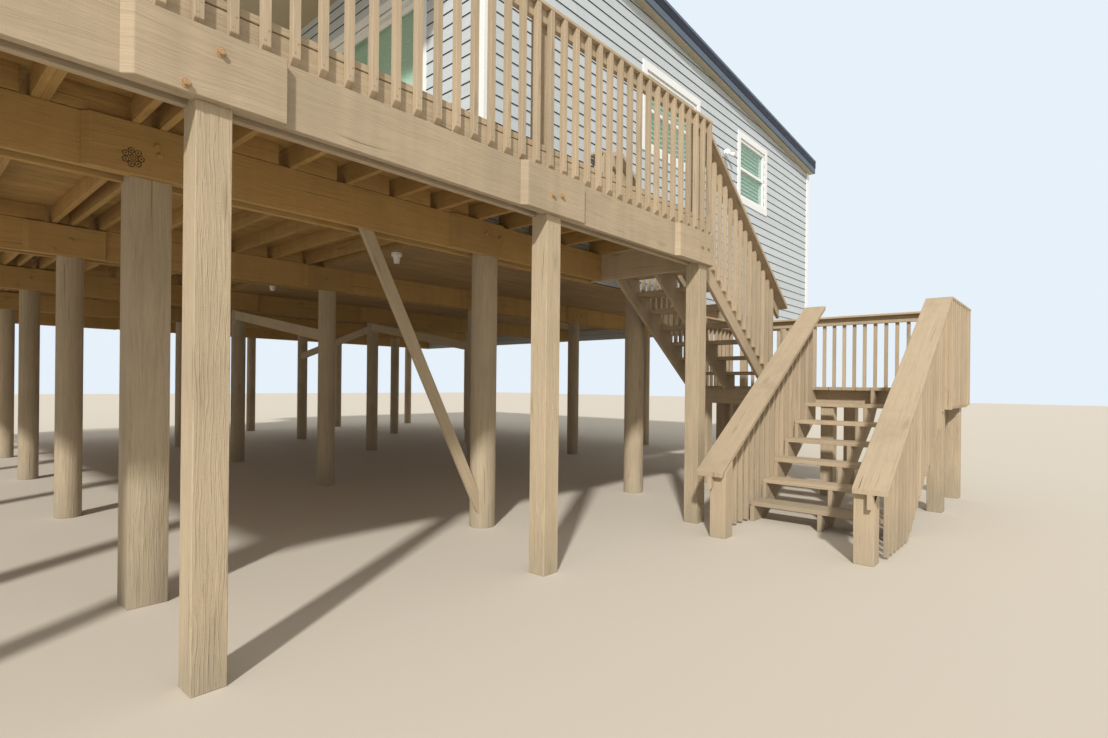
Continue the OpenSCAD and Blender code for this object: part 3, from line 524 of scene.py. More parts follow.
def prism(bm, axis, outline, low, high):
    """Adds an outline in the two other axes, extruded from low to high along axis."""
    rings = [[bm.verts.new(PLACES[axis](a, b, t)) for a, b in outline] for t in (low, high)]
    bm.faces.new(rings[0])
    bm.faces.new(rings[1][::-1])
    for i in range(len(outline)):
        j = (i + 1) % len(outline)
        bm.faces.new((rings[0][j], rings[0][i], rings[1][i], rings[1][j]))
    bmesh.ops.recalc_face_normals(bm, faces=bm.faces)


def bevelled(bm, edges, width):
    bmesh.ops.bevel(bm, geom=edges, offset=width, segments=1, affect="EDGES", clamp_overlap=True)


# Boards
def map_grain(bm, faces, along):
    """Writes the grain map: U along the board, V across the face, ends across the board."""
    layer = bm.loops.layers.uv.get("grain") or bm.loops.layers.uv.new("grain")
    along = Vector(along).normalized()
    helper = Vector((0, 0, 1)) if abs(along.z) < 0.9 else Vector((1, 0, 0))
    side = along.cross(helper).normalized()
    other = along.cross(side)
    for face in faces:
        end_face = abs(face.normal.dot(along)) > 0.75
        across = side if end_face else face.normal.cross(along).normalized()
        run = other if end_face else along
        for loop in face.loops:
            loop[layer].uv = (loop.vert.co.dot(run), loop.vert.co.dot(across))


class Stack:
    """Collects boards into one mesh, each with its own tone."""

    def __init__(self):
        self.bm = bmesh.new()
        self.bm.loops.layers.uv.new("grain")
        self.tone = self.bm.verts.layers.float.new("tone")

    def take(self, part):
        tone = chance.random()
        mesh = mesh_of(part, "part")
        first = len(self.bm.verts)
        self.bm.from_mesh(mesh)
        bpy.data.meshes.remove(mesh)
        self.bm.verts.ensure_lookup_table()
        for vert in self.bm.verts[first:]:
            vert[self.tone] = tone

    def plate(self, axis, outline, low, high, along, ease=EASE):
        """A prism with eased edges and its grain along a direction."""
        part = bmesh.new()
        prism(part, axis, outline, low, high)
        if ease:
            bevelled(part, part.edges[:], ease)
        part.normal_update()
        map_grain(part, part.faces, along)
        self.take(part)

    def box(self, low, high, along, ease=EASE):
        self.plate("z", rectangle(low[0], low[1], high[0], high[1]), low[2], high[2], along, ease)

    def mesh(self):
        return mesh_of(self.bm, "boards")

    def done(self, name, material, *nodes):
        show(name, mesh_of(self.bm, name), material, *nodes)


def show(name, mesh, material, *nodes):
    """Adds a finished piece, with its finish, its body and the nodes that it stands for."""
    mesh.materials.clear()
    mesh.materials.append(MATERIALS[material])
    piece = add_object(name, mesh)
    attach(piece, "root")
    if nodes:
        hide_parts(*nodes)


def islands(bm):
    """The faces of each connected solid, in the order of the mesh, so that each run is the same."""
    met = set()
    for first in bm.faces:
        if first in met:
            continue
        met.add(first)
        group, todo = [first], [first]
        while todo:
            fresh = [face for edge in todo.pop().edges for face in edge.link_faces if face not in met]
            for face in dict.fromkeys(fresh):
                met.add(face)
                group.append(face)
                todo.append(face)
        yield group


def node_data(node):
    """Mesh data with a CAD node's own shape, its faces joined at their edges."""
    bm = bmesh.new()
    bm.from_mesh(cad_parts[node].data)
    bmesh.ops.remove_doubles(bm, verts=bm.verts, dist=1e-5)
    return bm


def solid_boxes(node):
    """The boxes of the separate solids in a node."""
    bm = node_data(node)
    found = []
    for group in islands(bm):
        points = np.array([v.co[:] for f in group for v in f.verts])
        found.append((points.min(axis=0), points.max(axis=0)))
    bm.free()
    return found


def main_axis(points):
    spread = np.array(points) - np.mean(points, axis=0)
    return np.linalg.svd(spread, full_matrices=False)[2][0]


def map_round(faces, layer, centre):
    """Writes a pile's grain map, a square one's too as if it were round: U up the pile, V round it."""
    for face in faces:
        if abs(face.normal.z) > 0.75:
            for loop in face.loops:
                loop[layer].uv = (loop.vert.co.x, loop.vert.co.y)
            continue
        middle = face.calc_center_median()
        base = math.atan2(middle.y - centre[1], middle.x - centre[0])
        for loop in face.loops:
            turn = math.atan2(loop.vert.co.y - centre[1], loop.vert.co.x - centre[0])
            turn = base + (turn - base + math.pi) % (2 * math.pi) - math.pi
            loop[layer].uv = (loop.vert.co.z, turn * PILE_RADIUS)


def from_node(node, material, ease=EASE, piles=False, along=None):
    """A piece with the CAD node's own shape, with eased edges, a grain map and a tone for each solid."""
    bm = node_data(node)
    bmesh.ops.dissolve_limit(bm, angle_limit=math.radians(1), verts=bm.verts, edges=bm.edges)
    if ease:
        sharp = [e for e in bm.edges if len(e.link_faces) == 2 and e.calc_face_angle(0) > math.radians(30)]
        bevelled(bm, sharp, ease)
    bm.normal_update()
    layer = bm.loops.layers.uv.new("grain")
    tone = bm.verts.layers.float.new("tone")
    for group in islands(bm):
        points = [v.co[:] for f in group for v in f.verts]
        own = chance.random()
        low, high = np.min(points, axis=0), np.max(points, axis=0)
        if piles:
            map_round(group, layer, (low + high) / 2)
        else:
            map_grain(bm, group, along or main_axis(points))
        for face in group:
            face.smooth = piles and abs(face.normal.z) < 0.5 and len(face.verts) == 4
            for vert in face.verts:
                vert[tone] = own
    show(node + "_finish", mesh_of(bm, node), material, node)


def finish_node(node, material):
    """Gives a CAD node that stays its finish."""
    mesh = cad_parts[node].data
    mesh.materials.clear()
    mesh.materials.append(MATERIALS[material])


# Rows of like pieces, by Geometry Nodes
def make_row_tree():
    tree = bpy.data.node_groups.new("row_of_pieces", "GeometryNodeTree")
    for label, kind in (("Geometry", "NodeSocketGeometry"), ("Count", "NodeSocketInt"),
                        ("Step", "NodeSocketVector"), ("Jitter", "NodeSocketFloat"),
                        ("Seed", "NodeSocketInt"), ("Finish", "NodeSocketMaterial")):
        tree.interface.new_socket(label, in_out="INPUT", socket_type=kind)
    tree.interface.new_socket("Geometry", in_out="OUTPUT", socket_type="NodeSocketGeometry")
    graph = Graph(tree)
    given = tree.nodes.new("NodeGroupInput").outputs
    end = tree.nodes.new("NodeGroupOutput").inputs
    line = graph.node("GeometryNodeMeshLine", {
        "Count": given["Count"], "Offset": given["Step"]}, mode="OFFSET")
    low, high = (graph.node("ShaderNodeVectorMath", {
        0: (way, way, way), "Scale": given["Jitter"]}, operation="SCALE").outputs[0] for way in (-1.0, 1.0))
    shake = graph.node("FunctionNodeRandomValue", {
        "Min": low, "Max": high, "Seed": given["Seed"]}, data_type="FLOAT_VECTOR")
    moved = graph.node("GeometryNodeSetPosition", {
        "Geometry": line.outputs[0], "Offset": shake.outputs["Value"]})
    placed = graph.node("GeometryNodeInstanceOnPoints", {
        "Points": moved.outputs[0], "Instance": given["Geometry"]})
    pick = graph.node("FunctionNodeRandomValue", {"Seed": given["Seed"]}, data_type="FLOAT")
    stored = graph.node("GeometryNodeStoreNamedAttribute", {
        "Geometry": placed.outputs[0], "Name": "tone", "Value": pick.outputs[1]},
        data_type="FLOAT", domain="INSTANCE")
    real = graph.node("GeometryNodeRealizeInstances", {"Geometry": stored.outputs[0]})
    finish = graph.node("GeometryNodeSetMaterial", {"Geometry": real.outputs[0], "Material": given["Finish"]})
    graph.feed(end["Geometry"], finish.outputs[0])
    return tree


ROW = make_row_tree()


def repeat(stack, count, step, material, jitter=0.0, seed=1):
    """The mesh of a stack's pieces repeated count times, step apart, with a tone for each time."""
    stack.bm.verts.layers.float.remove(stack.tone)
    holder = add_object("holder", stack.mesh())
    modifier = holder.modifiers.new("row", "NODES")
    modifier.node_group = ROW
    values = {"Count": count, "Step": step, "Jitter": jitter, "Seed": seed, "Finish": MATERIALS[material]}
    for item in ROW.interface.items_tree:
        if item.in_out == "INPUT" and item.name in values:
            modifier[item.identifier] = values[item.name]
    return applied(holder)


def join_meshes(name, meshes, material, *nodes):
    bm = bmesh.new()
    for mesh in meshes:
        bm.from_mesh(mesh)
    show(name, mesh_of(bm, name), material, *nodes)


# Guards
def nail_heads(stack, places, y, sunk=0.002):
    """Small round heads on a baluster's outer face."""
    for x, z in places:
        stack.plate("y", circle(x, z, NAIL_RADIUS, 6), y - NAIL_PROUD, y + sunk, (1, 0, 0), 0)


def make_level_guard(name, length, angle, place, levels, spacing, posts, seed, node):
    """A straight guard, made along X with its balusters on the side of low Y, then turned and moved.
    levels has the heights of the floor, of the cap's top and of the balusters' feet."""
    floor_z, top, foot = levels
    cap_z = top - CAP_H
    inner = BALUSTER + PLY
    boards = Stack()
    joint = length * 0.47 if length > 3 else length
    for start, stop in ((0, joint), (joint + 0.002, length)):
        if stop - start > 0.05:
            boards.box((start, -CAP_LIP, cap_z), (stop, CAP_W, cap_z + CAP_H), (1, 0, 0))
            boards.box((start, BALUSTER, cap_z - RAIL_DEPTH), (stop, inner, cap_z), (1, 0, 0))
    for x in posts:
        boards.box((x, inner, floor_z), (x + GUARD_POST, inner + GUARD_POST, cap_z), (0, 0, 1))
    last = length - BALUSTER_END - BALUSTER
    count = int(last / spacing) + 1
    first = last - (count - 1) * spacing
    one, heads = Stack(), Stack()
    one.plate("x", [(0, foot + BALUSTER), (BALUSTER, foot), (BALUSTER, cap_z), (0, cap_z)],
              first, first + BALUSTER, (0, 0, 1), ROD_EASE)
    left, right = first + BALUSTER / 2 - 0.007, first + BALUSTER / 2 + 0.007
    nail_heads(heads, [(left, foot + 0.062), (right, foot + 0.105), (left, cap_z - 0.03),
                       (right, cap_z - 0.062)], 0)
    rods = repeat(one, count, (spacing, 0, 0), "timber", 0.0014, seed)
    nails = repeat(heads, count, (spacing, 0, 0), "rust", 0.0014, seed)
    join_meshes(name, [turned(mesh, angle, place) for mesh in (boards.mesh(), rods)], "timber", node)
    show(name + "_nails", turned(nails, angle, place), "rust")


def deck_levels():
    """Heights of the joists' underside and of the deck boards' top."""
    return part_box("deck_joists")[0][2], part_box("deck_floor")[1][2]


def make_deck_guards():
    joists_z, floor_z = deck_levels()
    low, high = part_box("front_guard")
    levels = (floor_z, high[2], joists_z + 0.004)
    posts_low, posts_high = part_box("deck_posts")
    post_step = (posts_high[0] - posts_low[0] - BOARD_W) / 3
    overrun = posts_low[0] - low[0]
    make_level_guard("front_guard_boards", high[0] - low[0], 0, (low[0], low[1], 0), levels,
                     BALUSTER_STEP, [overrun + post_step, overrun + 2 * post_step], 3, "front_guard")
    inner = low[1] + BALUSTER + PLY
    end_post = Stack()
    end_post.box((high[0] - BOARD_W, inner, floor_z), (high[0], inner + BOARD_W, high[2] - CAP_H), (0, 0, 1))
    end_post.done("front_guard_end_post", "timber", "front_guard")
    low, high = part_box("left_guard")
    length = high[1] - low[1]
    make_level_guard("left_guard_boards", length, -math.pi / 2, (low[0], high[1], 0), levels,
                     BALUSTER_STEP, [k * (length - GUARD_POST) / 6 for k in range(7)], 4, "left_guard")
    low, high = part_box("back_guard")
    length = high[0] - low[0]
    make_level_guard("back_guard_boards", length, math.pi, (high[0], high[1], 0), levels,
                     BALUSTER_STEP, [0, (length - GUARD_POST) / 2], 5, "back_guard")


def make_landing_guard():
    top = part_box("landing_guard")[1][2]
    low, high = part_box("landing_frame")
    floor_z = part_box("landing_floor")[1][2]
    levels = (floor_z, top, low[2])
    inset = CAP_W - BALUSTER
    side = high[0] - low[0] + BALUSTER
    depth = high[1] - low[1] - 2 * inset
    nosing = 0.030
    x, y = low[0], low[1] - BALUSTER
    make_level_guard("landing_front_boards", side, 0, (x, y, 0), levels, STAIR_STEP, [], 6, "landing_guard")
    corner = Stack()
    x -= 0.001
    post_high = (low[0] + BOARD_W, low[1] + PLY + BOARD_W, top - CAP_H)
    corner.box((x, y, low[2]), (low[0] + PLY, low[1], top - CAP_H), (0, 0, 1))
    corner.box((x, low[1], floor_z), post_high, (0, 0, 1))
    corner.done("landing_corner_post", "timber", "landing_guard")
    make_level_guard("landing_side_boards", depth, math.pi / 2, (high[0] + BALUSTER, low[1] + inset, 0),
                     levels, STAIR_STEP, [POST_INSET, depth - GUARD_POST - POST_INSET], 7, "landing_guard")
    make_level_guard("landing_back_boards", side, math.pi, (high[0] + BALUSTER, high[1] + BALUSTER, 0),
                     levels, STAIR_STEP, [side - GUARD_POST - nosing], 8, "landing_guard")


def sloped_board(stack, axis_low, axis_high, x0, z0, x1, z1, drop):
    """A board between two plan places whose top edge runs from (x0, z0) to (x1, z1), drop deep upright."""
    stack.plate("y", [(x0, z0), (x1, z1), (x1, z1 - drop), (x0, z0 - drop)], axis_low, axis_high,
                (x1 - x0, 0, z1 - z0))


def make_raked_guard(node, cap_w, y_cap, y_rail, y_rods, x_high, z_high, x_low, slope, feet, newel=None):
    """A sloping guard. x_high and z_high are its cap's upper end; slope is its fall for each metre of run.
    feet has each baluster's place along X and the heights of its foot's two lower corners."""
    way = 1 if x_low > x_high else -1
    stretch = math.sqrt(1 + slope * slope)
    cap_t = PLY * stretch
    z_low = z_high - abs(x_low - x_high) * slope
    boards, heads = Stack(), Stack()
    sloped_board(boards, y_cap, y_cap + cap_w, x_high, z_high, x_low, z_low, cap_t)
    sloped_board(boards, y_rail, y_rail + PLY, x_high, z_high - cap_t, x_low, z_low - cap_t,
                 RAIL_DEPTH * stretch)
    if newel:
        newel(boards, z_low - cap_t, slope)
    outer = y_rods if y_rods < y_rail else y_rods + BALUSTER
    for x, foot in feet:
        near = z_high - cap_t - abs(x - x_high) * slope
        far = near - way * BALUSTER * slope
        boards.plate("y", [(x, foot[0]), (x + BALUSTER, foot[1]), (x + BALUSTER, far), (x, near)],
                     y_rods, y_rods + BALUSTER, (0, 0, 1), ROD_EASE)
        middle = x + BALUSTER / 2
        nail_heads(heads, [(middle, min(foot) + 0.09), (middle, min(near, far) - 0.045)], outer, NAIL_PROUD)
    boards.done(node + "_boards", "timber", node)
    heads.done(node + "_nails", "rust")


def make_upper_guards():
    low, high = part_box("upper_treads")
    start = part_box("deck_end_beam")[1][0]
    foot_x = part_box("landing_frame")[0][0]
    deck_z = deck_levels()[1]
    rise = (deck_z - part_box("landing_floor")[1][2]) / UPPER_RISERS
    slope = rise / ((foot_x - start) / (UPPER_RISERS - 1))
    z_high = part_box("front_guard")[1][2]
    first = start + (STAIR_STEP - BALUSTER) / 2
    feet = []
    for i in range(int((foot_x - start) / STAIR_STEP)):
        x = first + i * STAIR_STEP
        foot = deck_z - PLY - rise - (x - start) * slope
        feet.append((x, (foot, foot - BALUSTER * slope)))
    front, back = low[1], high[1]
    make_raked_guard("upper_front_guard", UPPER_CAP_W, front - BALUSTER - UPPER_CAP_OUT, front,
                     front - BALUSTER, start, z_high, foot_x + UPPER_RUN_OUT, slope, feet)
    make_raked_guard("upper_back_guard", UPPER_CAP_W, back + BALUSTER - UPPER_CAP_W, back - PLY, back,
                     start, z_high, foot_x, slope, feet)


def make_lower_guards():
    top_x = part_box("landing_frame")[0][0]
    landing_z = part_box("landing_floor")[1][2]
    front, back = (corner[1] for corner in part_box("lower_treads"))
    z_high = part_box("landing_guard")[1][2]
    end_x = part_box("lower_front_guard")[0][0]
    rise = landing_z / LOWER_RISERS
    slope = rise / LOWER_GOING
    newel_x = end_x + NEWEL_OVERHANG
    feet = []
    for i in range(int((top_x - newel_x - BOARD_W) / STAIR_STEP)):
        x = top_x - STAIR_STEP * i - BALUSTER
        foot = max(0.02, landing_z - rise - PLY - (top_x - x) * slope)
        feet.append((x, (foot, foot)))

    def newel_at(y0):
        def newel(boards, top, rake):
            near = top + NEWEL_OVERHANG * rake
            far_x = newel_x + BOARD_W
            boards.plate("y", [(newel_x, 0), (far_x, 0), (far_x, near + BOARD_W * rake), (newel_x, near)],
                         y0, y0 + BOARD_W, (0, 0, 1))
        return newel

    cap_shift = (PLY - SLOPED_CAP_W) / 2
    make_raked_guard("lower_front_guard", SLOPED_CAP_W, front + cap_shift, front, front - BALUSTER,
                     top_x, z_high, end_x, slope, feet, newel_at(front))
    make_raked_guard("lower_back_guard", SLOPED_CAP_W, back - PLY + cap_shift, back - PLY, back,
                     top_x, z_high, end_x, slope, feet, newel_at(back - BOARD_W))


# Deck and floors
def make_deck_floor():
    low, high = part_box("deck_floor")
    house_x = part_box("house_floor")[0][0]
    house_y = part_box("front_wall")[0][1]
    pitch = BOARD_W + BOARD_GAP
    front_count = int((house_y - low[1]) / pitch)
    start = low[1] + front_count * pitch
    count = int((high[1] - start) / pitch)
    meshes = []
    for y, end_x, rows, seed in ((low[1], high[0], front_count, 11), (start, house_x, count, 12)):
        one = Stack()
        one.box((low[0], y, low[2]), (end_x, y + BOARD_W, high[2]), (1, 0, 0))
        meshes.append(repeat(one, rows, (0, pitch, 0), "under", 0.0008, seed))
    rest = Stack()
    rest.box((low[0], start + count * pitch, low[2]), (house_x, high[1], high[2]), (1, 0, 0))
    rest.box((house_x, start, low[2]), (high[0], house_y, high[2]), (1, 0, 0))
    meshes.append(rest.mesh())
    join_meshes("deck_boards", meshes, "under", "deck_floor")


def make_landing_floor():
    low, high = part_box("landing_floor")
    pitch = BOARD_W + BOARD_GAP
    count = int((high[1] - low[1] + BOARD_GAP) / pitch)
    one, rest = Stack(), Stack()
    one.box(low, (high[0], low[1] + BOARD_W, high[2]), (1, 0, 0))
    rest.box((low[0], low[1] + count * pitch, low[2]), high, (1, 0, 0))
    boards = repeat(one, count, (0, pitch, 0), "timber", 0.0006, 13)
    join_meshes("landing_boards", [boards, rest.mesh()], "timber", "landing_floor")


def pile_places(node):
    """Plan centres of the piles in a node."""
    return [((low[0] + high[0]) / 2, (low[1] + high[1]) / 2) for low, high in solid_boxes(node)]


def make_joists():
    low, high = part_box("deck_joists")
    house_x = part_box("house_floor")[0][0]
    house_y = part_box("front_wall")[0][1]
    inner = low[1] + PLY
    back = high[1] - PLY
    rows = sorted({round(y, 3) for x, y in pile_places("front_piles") + pile_places("back_piles")})
    starts = [low[0] + FIRST_JOIST]
    while starts[-1] + JOIST_STEP <= house_x - PLY:
        starts.append(starts[-1] + JOIST_STEP)
    square = min(pile_places("front_piles"), key=lambda place: abs(place[0] - low[0] - SQUARE_PILE_AT))[0]
    near = max(i for i, x in enumerate(starts) if x <= square)
    evenly = [(starts[0], near - 1), (starts[near + 1], len(starts) - near - 1)]
    starts[near - 1] -= NEAR_SHIFT
    starts[near] += NEAR_SHIFT
    boards = Stack()
    z0, z1 = low[2], high[2]

    def joist(x, y0, y1):
        boards.box((x, y0, z0), (x + PLY, y1, z1), (0, 1, 0))

    shadow_gap = 0.006
    boards.box((low[0], low[1], z0 + shadow_gap), (high[0], inner, z1 - shadow_gap), (1, 0, 0))
    boards.box((low[0], back, z0), (house_x, high[1], z1), (1, 0, 0))
    joist(low[0], inner, back)
    joist(high[0] - PLY, inner, house_y)
    front_face = rows[0] - BEAM_PAIR / 2
    joist(starts[near - 1], inner, back)
    joist(starts[near - 1] - PLY, inner, back)
    joist(starts[near], inner, back)
    joist(starts[near] - JOIST_LAP, inner, front_face)
    joist(starts[near] + JOIST_LAP, front_face, back)
    for x, following in zip(starts, starts[1:]):
        for row in rows:
            face = row - BEAM_PAIR / 2
            gap = BLOCK_GAP + chance.uniform(-0.02, 0.02)
            boards.box((x + PLY, face, z0 + 0.004), (following - gap, face + PLY, z1), (1, 0, 0))
    step = (JOIST_STEP, 0, 0)
    meshes = [boards.mesh()]
    for i, (x, count) in enumerate(evenly):
        long_one = Stack()
        long_one.box((x, inner, z0), (x + PLY, back, z1), (0, 1, 0))
        meshes.append(repeat(long_one, count, step, "under", 0.0, 14 + i))
    short_one = Stack()
    x = house_x + JOIST_STEP / 2
    short_one.box((x, inner, z0), (x + PLY, house_y, z1), (0, 1, 0))
    short_count = int((high[0] - JOIST_STEP / 2 - x) / JOIST_STEP) + 1
    meshes.append(repeat(short_one, short_count, step, "under", 0.0, 17))
    join_meshes("joists", meshes, "under", "deck_joists")


# Siding
def lap_wall(name, length, z_low, z_high, slope, place, angle, holes, step_x=0.0, step_z=0.0):
    """Lapped boards on a wall along X, its face at Y 0, laps proud to low Y. The top falls by slope along X.
    Before step_x the boards start at step_z."""
    start = SIDING_BASE + math.floor((z_low - SIDING_BASE) / LAP + 1e-4) * LAP
    courses = int((z_high - start) / LAP) + 1
    one = Stack()
    one.plate("x", [(0, start), (-LAP_PROUD, start), (-LAP_TOP, start + LAP), (0, start + LAP)],
              0, length, (1, 0, 0), 0)
    holder = add_object(name, repeat(one, courses, (0, 0, LAP), "lap", 0.0, 21))
    if z_low - start > 1e-3:
        step_x, step_z = length + 0.1, z_low
    cuts = [rectangle(*hole) for hole in holes]
    if step_x > 0:
        cuts.append(rectangle(-0.1, start - 0.1, step_x, step_z))
    end_x = length + 0.5
    cuts.append([(-0.5, z_high + 0.5 * slope), (end_x, z_high - end_x * slope), (end_x, z_high + 2),
                 (-0.5, z_high + 2)])
    knife = bmesh.new()
    for outline in cuts:
        prism(knife, "y", outline, -0.1, 0.1)
    cutter = add_object("cutter", mesh_of(knife, "cutter"))
    cut = holder.modifiers.new("cut", "BOOLEAN")
    cut.object = cutter
    cut.operation = "DIFFERENCE"
    cut.solver = "EXACT"
    cut.use_self = True
    boards = applied(holder)
    bpy.data.objects.remove(cutter)
    show(name, turned(boards, angle, place), "lap")


def wall_holes(openings, axis, start, way):
    """The openings as left, low, right, high on a wall that runs along axis from start. way is 1 or -1."""
    holes = []
    for low, high in openings:
        left, right = sorted((way * (low[axis] - start), way * (high[axis] - start)))
        holes.append((left, low[2], right, high[2]))
    return holes


def make_siding():
    low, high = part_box("front_wall")
    back_low, back_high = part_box("back_wall")
    right_low, right_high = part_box("right_wall")
    left_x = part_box("left_wall")[0][0]
    deck_z = deck_levels()[1]
    length = high[0] - low[0]
    depth = back_high[1] - low[1]
    near = 0.2
    openings = solid_boxes("window_sashes") + solid_boxes("door_frame")
    front = [b for b in openings if b[1][1] < low[1] + near]
    back = [b for b in openings if b[0][1] > back_high[1] - near]
    left = [b for b in openings if b[1][0] < left_x + near]
    right = [b for b in openings if b[0][0] > right_high[0] - near]
    lap_wall("front_siding", length, low[2], high[2], ROOF_SLOPE, (low[0], low[1], 0), 0,
             wall_holes(front, 0, low[0], 1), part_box("deck_end_beam")[1][0] - low[0], deck_z)
    lap_wall("back_siding", length, back_low[2], high[2] - length * ROOF_SLOPE, -ROOF_SLOPE,
             (back_high[0], back_high[1], 0), math.pi, wall_holes(back, 0, back_high[0], -1))
    lap_wall("left_siding", depth, deck_z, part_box("porch_ceiling")[0][2], 0,
             (low[0], back_high[1], 0), -math.pi / 2, wall_holes(left, 1, back_high[1], -1))
    lap_wall("right_siding", depth, right_low[2], right_high[2] - 0.01, 0,
             (high[0], low[1], 0), math.pi / 2, wall_holes(right, 1, low[1], 1))


# Blinds
def slat_outline(middle, tilt):
    """The four corners of a slat's section about a point, turned by tilt."""
    deep, thick = 0.055, 0.004
    a = (deep / 2 * math.cos(tilt), deep / 2 * math.sin(tilt))
    b = (thick / 2 * math.sin(tilt), thick / 2 * math.cos(tilt))
    corners = ((-a[0] - b[0], b[1] - a[1]), (b[0] - a[0], -a[1] - b[1]), (a[0] + b[0], a[1] - b[1]),
               (a[0] - b[0], a[1] + b[1]))
    return [(middle[0] + u, middle[1] + v) for u, v in corners]


def make_blinds():
    """Level slats in the windows and upright ones in the sliding door."""
    meshes = []
    level_pitch, upright_pitch = 0.062, 0.078
    windows = solid_boxes("window_blinds")
    for i, (low, high) in enumerate(windows + solid_boxes("door_blinds")):
        if high[0] - low[0] > high[1] - low[1]:
            length, angle = high[0] - low[0], 0.0
            place = (low[0], (low[1] + high[1]) / 2, 0)
        else:
            length, angle = high[1] - low[1], math.pi / 2
            place = ((low[0] + high[0]) / 2, low[1], 0)
        one = Stack()
        if i >= len(windows):
            count, step = int((length - 0.02) / upright_pitch), (upright_pitch, 0, 0)
            one.plate("z", slat_outline((upright_pitch * 0.6, 0), math.radians(25)),
                      low[2], high[2], (0, 0, 1), 0)
        else:
            count, step = int((high[2] - low[2] - 0.02) / level_pitch), (0, 0, level_pitch)
            one.plate("x", slat_outline((0, low[2] + level_pitch * 0.6), math.radians(55)),
                      0.004, length - 0.004, (1, 0, 0), 0)
        meshes.append(turned(repeat(one, count, step, "blind", 0.0, 30 + i), angle, place))
    join_meshes("blind_slats", meshes, "blind", "window_blinds", "door_blinds")


# Roof ribs, underfloor sheets, bolts and the wall lamp
def make_roof_ribs():
    low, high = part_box("roof")
    width, tall = 0.03, 0.028
    fall = (high[0] - low[0]) * ROOF_SLOPE
    one = Stack()
    one.plate("y", [(low[0], high[2]), (high[0], high[2] - fall), (high[0], high[2] - fall + tall),
                    (low[0], high[2] + tall)], low[1] + 0.01, low[1] + 0.01 + width, (1, 0, 0), 0.002)
    count = 24
    pitch = (high[1] - low[1] - 0.02 - width) / (count - 1)
    show("roof_ribs", repeat(one, count, (0, pitch, 0), "roof", 0.0, 41), "roof")


def make_roof_trim():
    """A thin drip edge over a dark strip of roof sheet on the fascia, and a tan soffit under the overhang."""
    low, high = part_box("roof_edge")
    wall_low, wall_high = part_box("front_wall")
    back_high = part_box("back_wall")[1]
    fall = (high[0] - low[0]) * ROOF_SLOPE
    depth = high[2] - fall - low[2]
    lip = high[2] + 0.012
    seam = high[2] - 0.12 * depth
    foot = high[2] - 0.58 * depth
    for name, material, proud, upper, lower in (("drip_edge", "fascia", 0.009, lip, seam),
                                                ("roof_turn_down", "roof", 0.006, seam, foot)):
        edge = Stack()
        for y0, y1 in ((low[1] - proud, low[1] + 0.004), (high[1] - 0.004, high[1] + proud)):
            edge.plate("y", [(low[0] - proud, upper), (high[0] + proud, upper - fall),
                             (high[0] + proud, lower - fall), (low[0] - proud, lower)],
                       y0, y1, (1, 0, 0), 0.001)
        edge.done(name, material)
    soffit = Stack()
    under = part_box("roof")[0][2]
    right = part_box("roof")[1][0]
    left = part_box("front_wall")[0][0]
    rise = (right - left) * ROOF_SLOPE
    inset = 0.020
    for y0, y1 in ((low[1] + inset, wall_low[1] - 0.012), (back_high[1] + 0.012, high[1] - inset)):
        soffit.plate("y", [(left, under + rise - 0.001), (right, under - 0.001), (right, under - 0.007),
                           (left, under + rise - 0.007)], y0, y1, (1, 0, 0), 0)
    soffit.done("rake_soffit", "soffit")


def make_underfloor():
    sheets = Stack()
    gap = 0.004
    for low, high in solid_boxes("underfloor_panels"):
        across, along = 3, 7
        dx = (high[0] - low[0]) / along
        dy = (high[1] - low[1]) / across
        for i in range(along):
            for j in range(across):
                sheets.box((low[0] + i * dx + gap / 2, low[1] + j * dy + gap / 2, low[2]),
                           (low[0] + (i + 1) * dx - gap / 2, low[1] + (j + 1) * dy - gap / 2, high[2]),
                           (1, 0, 0), 0.001)
    sheets.done("underfloor_sheets", "plywood", "underfloor_panels")


def bolt(stack, x, y, z):
    """A washer and a six-sided head on a face that looks to low Y."""
    for radius, low, high, sides in ((0.020, y - 0.003, y + 0.001, 16), (0.013, y - 0.018, y - 0.003, 6)):
        stack.plate("y", circle(x, z, radius, sides), low, high, (1, 0, 0), 0.001)


# Places of each splice board's two bolts: left or right of its post's centre, and above the board's underside
RIM_BOLTS = (
    ((-0.06, 0.10), (0.05, 0.18)),
    ((-0.118, 0.03), (0.008, 0.20)),
    ((-0.057, 0.118), (0.034, 0.133)),
    ((-0.098, 0.15), (0.019, 0.15)),
)
SQUARE_PILE_BOLTS = ((0.016, 0.181), (0.026, 0.13))
CORNER_PILE_BOLTS = ((-0.104, 0.18), (0.05, 0.165))
NEAR_PILE_BOLTS = ((-0.022, 0.147), (-0.145, 0.04))
PILE_BOLTS = ((-0.087, 0.13), (0.044, 0.13))


def make_knots(x, y, z):
    """A ring of small knots round another, on a face that looks to low Y."""
    rings, hearts = Stack(), Stack()
    for centre in [(x, z)] + circle(x, z, 0.038, 7):
        for stack, radius, proud in ((rings, 0.018, 0.0006), (hearts, 0.012, 0.0010), (rings, 0.006, 0.0014)):
            turn = chance.uniform(0, 1)
            outline = [(centre[0] + radius * chance.uniform(0.85, 1.1) * math.cos(a + turn),
                        centre[1] + radius * chance.uniform(0.85, 1.1) * math.sin(a + turn))
                       for a in np.arange(12) * 2 * math.pi / 12]
            stack.plate("y", outline, y - proud, y + 0.0004, (1, 0, 0), 0)
    rings.done("knot_rings", "knot")
    hearts.done("knot_hearts", "beam")


